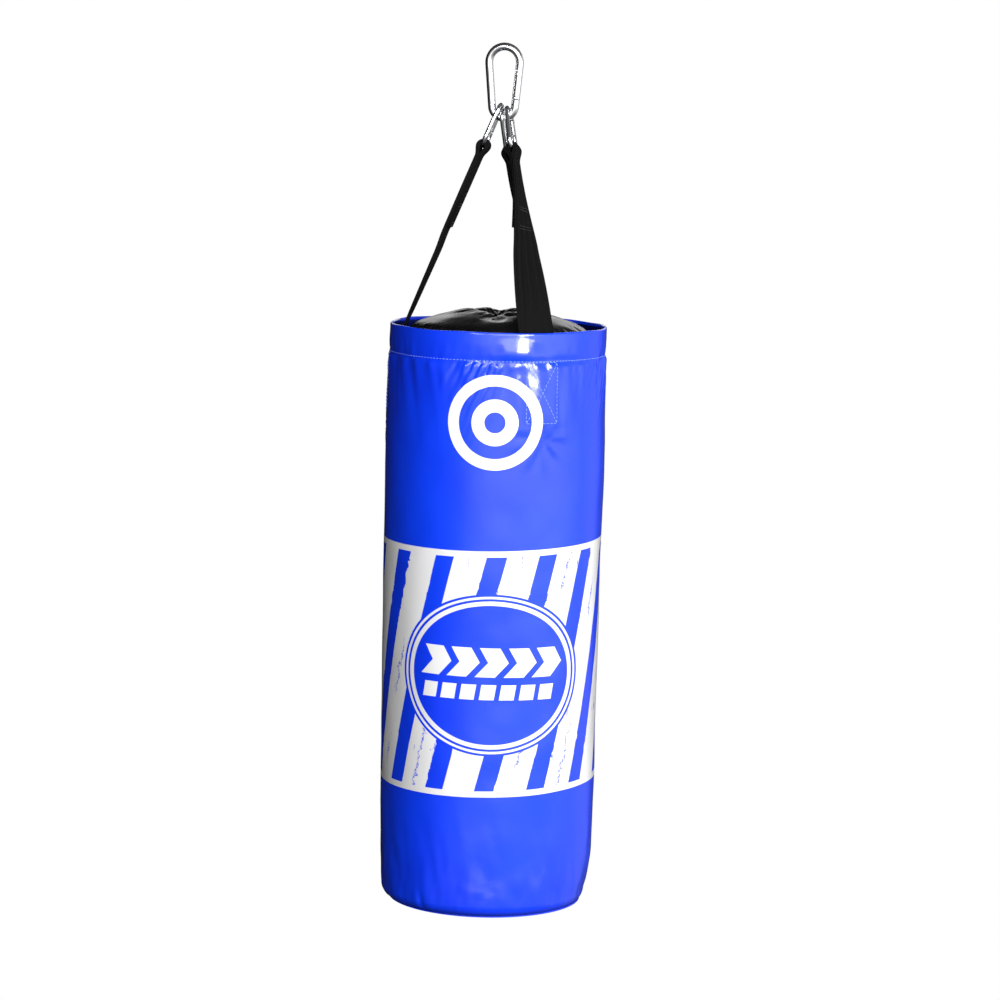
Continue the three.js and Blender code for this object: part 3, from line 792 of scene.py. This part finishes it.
def smooth_chain(points, count):
    """count points along a smooth curve through the given ones (Catmull-Rom)."""
    points = np.asarray(points, float)
    ends = np.vstack([2 * points[0] - points[1], points, 2 * points[-1] - points[-2]])
    spans = len(points) - 1
    out = []
    for s in np.linspace(0, spans, count):
        k = min(int(s), spans - 1)
        t = s - k
        a, b, c, d = ends[k:k + 4]
        square, cube = 2 * a - 5 * b + 4 * c - d, 3 * b - a - 3 * c + d
        out.append(0.5 * (2 * b + (c - a) * t + square * t ** 2 + cube * t ** 3))
    return np.array(out)


PUFF_STEPS = 20
PUFF_SETTINGS = dict(
    quality=5, mass=0.15, use_pressure=True, uniform_pressure_force=4, vertex_group_mass="held",
    tension_stiffness=25, compression_stiffness=25, bending_stiffness=0.8)


def puff(obj, free, most):
    """Lets the cloth settle under pressure from inside. free is each point's freedom from 0,
    held, to 1, and most the farthest a point may go."""
    held = obj.vertex_groups.new(name="held")
    for index, freedom in enumerate(free):
        held.add([index], float(1 - freedom), "REPLACE")
    start = np.empty(3 * len(obj.data.vertices))
    obj.data.vertices.foreach_get("co", start)
    cloth = obj.modifiers.new("settle", "CLOTH")
    for setting, value in PUFF_SETTINGS.items():
        setattr(cloth.settings, setting, value)
    cloth.settings.effector_weights.gravity = 0
    cloth.point_cache.frame_start = 1
    cloth.point_cache.frame_end = PUFF_STEPS
    scene = bpy.context.scene
    for step in range(1, PUFF_STEPS + 1):
        scene.frame_set(step)
    settled = obj.evaluated_get(bpy.context.evaluated_depsgraph_get()).to_mesh()
    end = np.empty_like(start)
    settled.vertices.foreach_get("co", end)
    obj.modifiers.remove(cloth)
    obj.vertex_groups.remove(held)
    scene.frame_set(1)
    moved = (end - start).reshape(-1, 3)
    distance = np.linalg.norm(moved, axis=1)[:, None]
    moved *= np.tanh(distance / most) * most / np.maximum(distance, 1e-9)
    obj.data.vertices.foreach_set("co", (start.reshape(-1, 3) + moved).ravel())
    obj.data.update()


def sack_top(azimuth, profile, travel, neck):
    """Rows of points over the sack's top. Pleats deepen towards the neck row, valleys draw the
    dome down, and past the neck the sheet flares into a frill."""
    folds = 17 * azimuth + 1.1 * np.sin(3 * azimuth + 0.8) + 0.7 * np.sin(5 * azimuth)
    pleat = np.sin(folds) * 0.6 + np.sin(2 * folds + 1.3) * 0.25
    frill = np.sin(9 * azimuth + 0.6) * 0.6 + np.sin(14 * azimuth) * 0.4
    valley = sum(depth * bump_at(away_from(azimuth, at), 0, width) for at, depth, width in SACK_VALLEYS)
    rows = []
    for (radius, height), t in zip(profile, travel):
        if t < travel[neck]:
            inward = ease((0.060 - radius) / 0.048)
            reach = radius + pleat * 0.0008 * inward * min(1.0, radius / 0.01)
            z = height + pleat * 0.0013 * inward * inward * min(1.0, radius / 0.022)
            z = z - 0.0075 * valley * bump_at(radius, 0.040, 0.020)
        else:
            flare = (t - travel[neck]) / (1 - travel[neck])
            reach = radius * (1 + 0.10 * flare * frill)
            z = height - 0.0018 * flare * (1 + frill) + 0.0007 * flare * np.sin(23 * azimuth)
        soft = lumps(np.sin(azimuth) * 60 * radius, np.cos(azimuth) * 60 * radius, t * 3, 4.2)
        z = z + 0.0006 * soft * ease((0.1 - radius) / 0.03)
        rows.append(around(azimuth, reach, RIM_Z + z))
    return rows


def make_sack(material):
    """Glossy black sack, gathered into pleats and tied in the middle of its domed top."""
    azimuth = turn_of(288)
    profile = smooth_chain(SACK_TOP, 110)
    travel = travelled(profile)
    neck = 60 + int(np.argmin(profile[60:90, 0]))
    wall = [*SACK_WALL, (0.1058, RIM_Z - 0.09 - SACK_BASE_Z)]
    rows = [around(azimuth, radius, SACK_BASE_Z + height) for radius, height in wall]
    points = np.array(rows + sack_top(azimuth, profile, travel / travel[-1], neck))
    sack = surface("inner_sack_skin", points, material, wrap=True)
    free = np.clip((np.hypot(points[..., 0], points[..., 1]) - 0.012) / 0.010, 0, 1)
    free = free * np.clip((points[..., 2] - RIM_Z + 0.030) / 0.012, 0, 1)
    free[len(wall) + neck:] = 0
    puff(sack, free.ravel(), 0.004)
    solid = sack.modifiers.new("thickness", "SOLIDIFY")
    solid.thickness = 0.0008
    solid.offset = -1
    apply_modifiers(sack)
    return place(sack, "bag", "black_vinyl", "inner_sack")


def swept_tube(name, centres, radius, sides, material, closed=False):
    """A round tube along points, or a ring if closed. radius is a number or one for each point."""
    centres = np.asarray(centres, float)
    count = len(centres)
    radii = np.broadcast_to(np.asarray(radius, float), (count,))
    if closed:
        tangents = np.roll(centres, -1, 0) - np.roll(centres, 1, 0)
    else:
        tangents = np.gradient(centres, axis=0)
    tangents /= np.linalg.norm(tangents, axis=1)[:, None]
    normal = np.cross(tangents[0], (0.3, 0.5, 0.81))
    rows = []
    for centre, tangent, r in zip(centres, tangents, radii):
        normal = unit(normal - tangent * normal.dot(tangent))
        other = np.cross(tangent, normal)
        a = 2 * math.pi * np.arange(sides)[:, None] / sides
        rows.append(centre + r * (np.cos(a) * normal + np.sin(a) * other))
    if closed:
        rows.append(rows[0])
    return surface(name, np.array(rows), material, wrap=True, caps=not closed)


def make_neck_tie(material):
    """A braided cord pulled tight round the neck of the sack, knotted, with two short ends."""
    neck_radius, cord, turns = 0.0081, 0.0013, 12
    height = RIM_Z + 0.0058
    strands = []
    for k in range(3):
        t = np.linspace(0, 2 * math.pi, 181)[:-1]
        phase = turns * t + 2 * math.pi * k / 3
        reach = neck_radius + 0.55 * cord * np.cos(phase)
        centres = around(t, reach, height + 0.55 * cord * np.sin(phase))
        strands.append(swept_tube(f"strand_{k}", centres, 0.62 * cord, 8, material, closed=True))
    for k, (side, rise) in enumerate(((1, 0.0), (-1, 0.001))):
        t = np.linspace(0, 1, 24)
        x = side * (0.001 + 0.012 * t)
        y = -0.0098 - 0.010 * t + 0.004 * np.sin(3 * t)
        z = height + rise + 0.0052 * ease(t * 1.3) + 0.0015 * np.sin(5 * t)
        thickness = 0.0011 * (1 - 0.2 * t ** 8)
        strands.append(swept_tube(f"tail_{k}", np.stack([x, y, z], 1), thickness, 8, material))
    t = np.linspace(0, 2 * math.pi, 61)[:-1]
    x, y, z = 0.0022 * np.sin(t), -0.0103 + 0.0016 * np.cos(t), height + 0.0016 * np.sin(2 * t)
    strands.append(swept_tube("knot", np.stack([x, y, z], 1), 0.0010, 8, material, closed=True))
    tie = join("neck_tie_cord", strands)
    return place(tie, "bag", "black_cord", "neck_tie")


def make_filling(material):
    """The stuffing, as a lumpy mass that fills the sack."""
    low = [(0.002, 0.006), (0.060, 0.006), (0.090, 0.009), (0.097, 0.020), (0.1010, 0.055)]
    high = [(0.1030, 0.045), (0.096, 0.028), (0.080, 0.009), (0.050, 0.003), (0.020, 0.004),
            (0.002, 0.005)]
    corners = [(r, BOTTOM_Z + z) for r, z in low] + [(0.1035, -0.70), (0.1035, -0.45)]
    profile = smooth_chain(corners + [(r, RIM_Z - z) for r, z in high], 90)
    azimuth = turn_of(72)
    radius, z = profile[:, 0][:, None], profile[:, 1][:, None]
    lump = 0.0016 * lumps(np.sin(azimuth)[None, :] * 4, np.cos(azimuth)[None, :] * 4, z * 30, 6.6)
    reach = np.maximum(radius + (lump - 0.0016) * ease(radius / 0.03), 0.0005)
    filling = surface("textile_stuffing", around(azimuth, reach, z), material, wrap=True, caps=True)
    return place(filling, "bag", "textile", "textile_filling")


# ------------------------ snap hooks


def hook_layout(spec):
    """Centres, radii and lean of a hook's bent wire, in its own frame: X towards the gate, Z
    towards the wide end, the origin on the inside of the wide end."""
    radius = spec["wire"] / 2
    wide = (spec["width"] - spec["wire"]) / 2
    wide_z = radius - wide
    crown_z = radius - (spec["length"] - spec["wire"])
    narrow_z = crown_z + spec["narrow"]
    lean = math.asin((wide - spec["narrow"]) / (wide_z - narrow_z))

    def gate_side(z):
        drop = wide_z - wide * math.sin(lean) - z
        return np.array((wide * math.cos(lean) - drop * math.tan(lean), 0.0, z))

    hinge, shoulder = gate_side(-spec["pivot_drop"]), gate_side(-spec["nose_drop"])
    return dict(radius=radius, wide=wide, wide_z=wide_z, crown_z=crown_z, narrow=spec["narrow"],
                narrow_z=narrow_z, lean=lean, gate_side=gate_side, hinge=hinge,
                gate_length=np.linalg.norm(shoulder - hinge))


def arc(radius, centre_z, start, end, count):
    a = np.linspace(start, end, count)
    return np.stack([radius * np.cos(a), 0 * a, centre_z + radius * np.sin(a)], 1)


def resample(points, spacing):
    travel = travelled(points)
    count = max(2, int(travel[-1] / spacing))
    at = np.linspace(0, travel[-1], count)
    return np.stack([np.interp(at, travel, points[:, k]) for k in range(3)], 1)


def boolean(obj, tool, operation="DIFFERENCE"):
    """Cuts or joins two closed meshes, and drops the tool."""
    modifier = obj.modifiers.new("cut", "BOOLEAN")
    modifier.operation = operation
    modifier.object = tool
    modifier.solver = "EXACT"
    apply_modifiers(obj)
    bpy.data.objects.remove(tool)


def lathe_z(name, profile, material, segments=32):
    """A solid of revolution about Z from (radius, height) pairs that start and end on the axis."""
    a = 2 * math.pi * np.arange(segments) / segments
    x, y = np.cos(a), np.sin(a)
    rows = [np.stack([max(r, 1e-6) * x, max(r, 1e-6) * y, z + 0 * a], 1) for r, z in profile]
    return surface(name, np.array(rows), material, wrap=True, caps=True)


def ball(name, radius, material, segments=32):
    angles = np.linspace(-math.pi / 2, math.pi / 2, segments // 2 + 1)
    profile = [(radius * math.cos(a), radius * math.sin(a)) for a in angles]
    return lathe_z(name, profile, material, segments)


def rod(name, radius, low, high, material, segments=32):
    return lathe_z(name, [(0, low), (radius, low), (radius, high), (0, high)], material, segments)


def rod_y(name, radius, half, z, material, segments=24):
    tool = rod(name, radius, -half, half, material, segments)
    tool.data.transform(Matrix.Translation((0, 0, z)) @ Matrix.Rotation(math.pi / 2, 4, "X"))
    return tool


def block(name, size, centre, material):
    corners = [(x, y, z) for x in (-0.5, 0.5) for y in (-0.5, 0.5) for z in (-0.5, 0.5)]
    vertices = [tuple(c * s + m for c, s, m in zip(corner, size, centre)) for corner in corners]
    faces = [(0, 1, 3, 2), (4, 6, 7, 5), (0, 4, 5, 1), (2, 3, 7, 6), (0, 2, 6, 4), (1, 5, 7, 3)]
    return add_object(name, vertices, faces, material, smooth=False)


def hook_sizes(wire):
    """The small features' sizes, all in proportion to the wire."""
    return dict(tongue=0.38 * wire, nose=0.82 * wire, pin_depth=0.46 * wire, pin=0.13 * wire,
                notch=0.13 * wire + 0.00035 + 0.04 * wire, end_gap=0.0003 + 0.06 * wire,
                rivet=0.15 * wire, bore=0.26 * wire, bore_length=1.6 * wire)


def crisp(obj):
    """Smooth shading with sharp edges where the faces turn by more than 35 degrees."""
    obj.data.polygons.foreach_set("use_smooth", [True] * len(obj.data.polygons))
    obj.data.set_sharp_from_angle(angle=math.radians(35))


def hook_wire_path(spec, layout, nose_end):
    """Centreline from the hinge, round the narrow end, up the back and round to the nose."""
    lean = layout["lean"]
    points = np.vstack([
        layout["hinge"][None, :],
        arc(layout["narrow"], layout["narrow_z"], -lean, lean - math.pi, 40),
        arc(layout["wide"], layout["wide_z"], math.pi + lean, -lean, 48),
        layout["gate_side"](nose_end)[None, :],
    ])
    return resample(points, spec["wire"] / 7)


def make_hook_meshes(kind, spec, chrome, steel):
    """The five meshes of a snap hook, in the hook's own frame, as templates."""
    layout = hook_layout(spec)
    radius, wire = layout["radius"], spec["wire"]
    s = hook_sizes(wire)
    gate = Matrix.Translation(layout["hinge"].tolist()) @ Matrix.Rotation(layout["lean"], 4, "Y")
    nose_end = -spec["nose_drop"] - s["nose"] * math.cos(layout["lean"])
    length = layout["gate_length"]
    pin_z = length - s["pin_depth"]
    reach = 2 * wire

    def put(tool):
        tool.data.transform(gate)
        return tool

    body = swept_tube(kind + "_body", hook_wire_path(spec, layout, nose_end), radius, 32, chrome)
    boolean(body, put(ball("end", radius * 0.9995, chrome)), "UNION")
    cheeks = ball("cheeks", radius + 0.0004, chrome)
    boolean(cheeks, block("slab", (reach, s["tongue"], reach), (0, 0, 0), chrome))
    nose_cheeks = rod("nose_cheeks", radius + 0.001, pin_z - wire, length, chrome)
    slab = block("slab", (reach, s["tongue"], 2 * reach), (0, 0, length - radius), chrome)
    boolean(nose_cheeks, slab)
    notch = rod_y("notch", s["notch"], radius, pin_z, chrome)
    notch_way = block("notch_way", (reach, wire, 2 * s["notch"]), (-reach / 2, 0, pin_z), chrome)
    for tool in (cheeks, nose_cheeks, notch, notch_way):
        boolean(body, put(tool))

    gate_rod = rod(kind + "_gate", radius, 0, length - s["end_gap"], chrome, 40)
    boolean(gate_rod, ball("end", radius * 0.9995, chrome, 40), "UNION")
    slot = s["tongue"] + 0.0006
    hinge_slot = ball("slot", radius + 0.0004, chrome)
    boolean(hinge_slot, block("slab", (3 * radius, slot, 3 * radius), (0, 0, 0), chrome), "INTERSECT")
    floor = length - s["nose"] - s["end_gap"]
    nose_slot = block("nose_slot", (3 * radius, slot, wire), (0, 0, floor + wire / 2), chrome)
    bore = rod("bore", s["bore"], 0.2 * radius, radius + s["bore_length"], chrome, 24)
    for tool in (hinge_slot, nose_slot, bore, rod_y("pin_hole", s["pin"] + 0.0003, wire, pin_z, chrome)):
        boolean(gate_rod, tool)

    shank, head = radius + 0.0002, 1.7 * s["rivet"]
    dome = [(head * math.cos(a), 0.09 * wire * math.sin(a)) for a in np.linspace(0, math.pi / 2, 7)]
    profile = [(r, -shank - z) for r, z in dome[::-1]] + [(s["rivet"], -shank), (s["rivet"], shank)]
    profile += [(r, shank + z) for r, z in dome]
    rivet = lathe_z(kind + "_rivet", profile, chrome, 24)
    rivet.data.transform(Matrix.Rotation(math.pi / 2, 4, "X"))
    pin = rod_y(kind + "_pin", s["pin"], radius - 0.0001, pin_z, steel)

    coil_wire = 0.04 * wire
    coil_radius = s["bore"] - 0.0003 - coil_wire
    low = radius + 0.0005 + coil_wire
    high = radius + s["bore_length"] - 0.0003 - coil_wire
    t = np.linspace(0, 1, 240)
    turn = 2 * math.pi * 8 * t
    x, y, z = coil_radius * np.cos(turn), coil_radius * np.sin(turn), low + (high - low) * t
    spring = swept_tube(kind + "_spring", np.stack([x, y, z], 1), coil_wire, 8, steel)
    for piece in (gate_rod, rivet, pin, spring):
        put(piece)
    for piece in (body, gate_rod, rivet, pin):
        crisp(piece)
    return dict(body=body, gate=gate_rod, rivet=rivet, latch_pin=pin, spring=spring)


def place_hook(name, templates, matrix, body, gate_body):
    """Copies of a hook's meshes at its place, each on its own body."""
    for part, template in templates.items():
        mesh = template.data.copy()
        mesh.transform(matrix)
        piece = bpy.data.objects.new(f"{name}_{part}_fine", mesh)
        bpy.context.scene.collection.objects.link(piece)
        moves = part in ("gate", "latch_pin", "spring")
        slot = "spring_steel" if part in ("latch_pin", "spring") else "chrome"
        place(piece, gate_body if moves else body, slot, f"{name}_{part}")


def strap_line(strap):
    """The straight line from the small hook's end bend to the rim, and the hook's own axes."""
    turn = np.array(Matrix.Rotation(TOP_HOOK_YAW, 3, "Z"))
    crown = turn @ (np.array(strap["crown"]) * MM)
    rim = around(math.radians(strap["azimuth"]), STRAP_RIM_RADIUS, RIM_Z)
    along = unit(rim - crown)
    through = turn @ np.array((0, 1.0, 0))
    flat = unit(through - along * through.dot(along))
    side = np.cross(flat, along)
    if side.dot(turn @ np.array((1.0, 0, 0))) < 0:
        side = -side
    angle = math.radians(strap["twist"])
    across = flat * math.cos(angle) + side * math.sin(angle)
    return crown, rim, along, across


def hook_matrix(strap):
    """Where a small hook's own frame lies."""
    crown, _, along, across = strap_line(strap)
    origin = crown - along * hook_layout(SMALL_HOOK)["crown_z"]
    axes = np.column_stack([across, np.cross(along, across), along, origin])
    return Matrix(np.vstack([axes, (0, 0, 0, 1)]).tolist())


# ------------------------ webbing straps


def section_curve(gather, samples):
    """The webbing's own cross section, folded lengthwise by gather from 0, flat, to 1. Its
    length stays the same: (across, lift, tilt) for each sample."""
    t = np.linspace(-0.5, 0.5, samples)
    tilt = 1.72 * gather * np.sin(2 * math.pi * (FOLDS * t + 0.5 * t * t) + 0.5)
    step = WEBBING_WIDTH / (samples - 1)
    across = np.concatenate([[0], np.cumsum(np.cos(0.5 * (tilt[1:] + tilt[:-1])) * step)])
    lift = np.concatenate([[0], np.cumsum(np.sin(0.5 * (tilt[1:] + tilt[:-1])) * step)])
    return across - across.mean(), lift - lift.mean(), tilt


def ribbon_rows(stations, samples=61):
    """Closed cross sections of the webbing at each (centre, across, normal, gather, bow)."""
    rows = []
    t = np.linspace(-1, 1, samples)
    half = WEBBING_THICKNESS / 2 * (1 - 0.6 * np.abs(t) ** 14)
    for centre, across, normal, gather, bow in stations:
        x, lift, tilt = section_curve(gather, samples)
        if bow:
            lift = lift - bow * (1 - np.cos(x / bow))
            tilt = tilt - x / bow
            x = bow * np.sin(x / bow)
        for face in (1, -1):
            order = slice(None) if face == 1 else slice(None, None, -1)
            px = (x - face * half * np.sin(tilt))[order]
            pn = (lift + face * half * np.cos(tilt))[order]
            rows.append(centre + px[:, None] * across + pn[:, None] * normal)
    return np.array(rows).reshape(len(stations), 2 * samples, 3)


def make_strap(name, strap, material, thread):
    """One strap: sewn flat inside the wall, up over the rim, gathered round the hook's wire and
    folded back on itself."""
    crown, rim, along, hook_across = strap_line(strap)
    layout = hook_layout(SMALL_HOOK)
    eye = crown + along * (layout["radius"] - layout["crown_z"])
    azimuth = math.radians(strap["azimuth"])
    out, flat = around(azimuth, 1, 0), around(azimuth + math.pi / 2, 1, 0)
    up = -along
    length = np.linalg.norm(eye - rim)
    if flat.dot(hook_across) < 0:
        hook_across = -hook_across
    loop_radius = layout["radius"] + 0.0019
    stations = []
    wall = [(drop, WALL_STRAP_RADIUS) for drop in (STRAP_WALL_END, 0.080, 0.062, 0.046)]
    wall += [(0.037, 0.1074), (0.030, 0.1058), (0.020, 0.1022), (0.008, 0.0973), (0, STRAP_RIM_RADIUS)]
    path = smooth_chain([(radius, RIM_Z - drop) for drop, radius in wall], 40)
    steps = np.gradient(path, axis=0)
    for (r, z), (dr, dz) in zip(path[:-1], steps[:-1]):
        tangent = unit(out * dr + np.array((0, 0, dz)))
        drop = RIM_Z - z
        bow = 0.108 + 0.25 * ease((0.036 - drop) / 0.036) ** 2
        stations.append((out * r + np.array((0, 0, z)), flat, np.cross(tangent, flat), 0.0, bow))

    def free(share, offset):
        """The station at a share of the free stretch from rim to hook, offset from its line."""
        gather = max(0.0, share - 0.02) ** 0.62 * 0.97
        turn = ease((share - 0.15) / 0.8)
        across = unit((1 - turn) * flat + turn * hook_across)
        across = unit(across - up * across.dot(up))
        normal = -np.cross(across, up)
        return rim + (eye - rim) * share + normal * offset, across, normal, float(gather), 0.0

    def spread(share):
        """Half the gap between the strap and its folded tail, which close up below the wire."""
        from_hook = (1 - share) * length
        return loop_radius + (0.0010 - loop_radius) * float(ease(from_hook / 0.012))

    tail_share = 1 - STRAP_TAIL / length
    for share in np.linspace(0, 0.995, 110):
        fade = float(ease((share - tail_share + 0.14) / 0.12))
        stations.append(free(share, -fade * spread(share)))
    _, across, normal, gather, _ = free(1.0, 0.0)
    for angle in np.linspace(0, math.pi, 19):
        arm = up * math.sin(angle) - normal * math.cos(angle)
        tangent = normal * math.sin(angle) + up * math.cos(angle)
        stations.append((eye + arm * loop_radius, across, np.cross(tangent, across), gather, 0.0))
    for share in np.linspace(0.995, tail_share, 48):
        centre, a, n, g, b = free(share, spread(share))
        stations.append((centre, a, -n, g, b))
    rows = ribbon_rows(stations)
    travel = travelled(np.array([station[0] for station in stations]))
    width = np.linspace(0, WEBBING_WIDTH, rows.shape[1] // 2)
    across_uv = np.concatenate([width, width[::-1], [0.0]])
    piece = surface(f"strap_{name}_webbing", rows, material, wrap=True, caps=True, uv=(across_uv, travel))
    runs = []
    half, count = 0.0085, 8
    for from_tail in (0.015, 0.030, 0.120, 0.135):
        share = tail_share + from_tail
        for side in (1, -1):
            centre, a, n, _, _ = free(share, side * (spread(share) + 0.0023))
            for k in range(count):
                x = -half + 2 * half * (k + 0.15) / count
                runs.append((centre + a * x, centre + a * (x + 0.0015), n * side))
    place(stitch_mesh(f"tack_stitches_{name}", runs, thread, radius=0.0003), "bag", "black_webbing")
    return place(piece, "bag", "black_webbing", f"strap_{name}")


# ------------------------ assembly

bpy.context.scene.view_settings.view_transform = "Standard"
make_camera()
make_world()
make_floor()
area_light("key", 34, 12, 2.4, 0.50, 0.62, 42, aim_z=-0.36)
area_light("left_key", -20, 17, 2.6, 0.44, 0.36, 13, aim_z=-0.36)
area_light("front_fill", 10, 24, 3.4, 2.0, 2.0, 68)
area_light("top_back", 178, 19, 3.2, 2.8, 0.8, 11)
area_light("back_fill", 184, -8, 3.2, 1.2, 1.6, 66, mirrored=False)

tarpaulin = tarpaulin_material()
vinyl = vinyl_material()
webbing = webbing_material("black_webbing")
cord = webbing_material("black_cord", rib=0.0009)
chrome = chrome_material("chrome", (0.86, 0.87, 0.89), 0.07, 0.20)
spring_steel = chrome_material("spring_steel", (0.52, 0.54, 0.57), 0.22, 0.40)
pale_thread = thread_material("pale_thread", (0.10, 0.19, 0.90), (0.33, 0.45, 0.98))
grey_thread = thread_material("grey_thread", (0.010, 0.010, 0.011), (0.035, 0.035, 0.038))

make_side_panel(tarpaulin)
make_wall_stitching(pale_thread)
make_bottom_panel(tarpaulin, pale_thread)
make_sack(vinyl)
make_neck_tie(cord)
make_filling(textile_material())

top_templates = make_hook_meshes("top", TOP_HOOK, chrome, spring_steel)
small_templates = make_hook_meshes("small", SMALL_HOOK, chrome, spring_steel)
place_hook("top_hook", top_templates, Matrix.Rotation(TOP_HOOK_YAW, 4, "Z"), "top_hook", "top_gate")
for name, strap in STRAPS.items():
    place_hook(f"{name}_hook", small_templates, hook_matrix(strap), "bag", f"{name}_gate")
    make_strap(name, strap, webbing, grey_thread)
for template in (*top_templates.values(), *small_templates.values()):
    bpy.data.objects.remove(template)
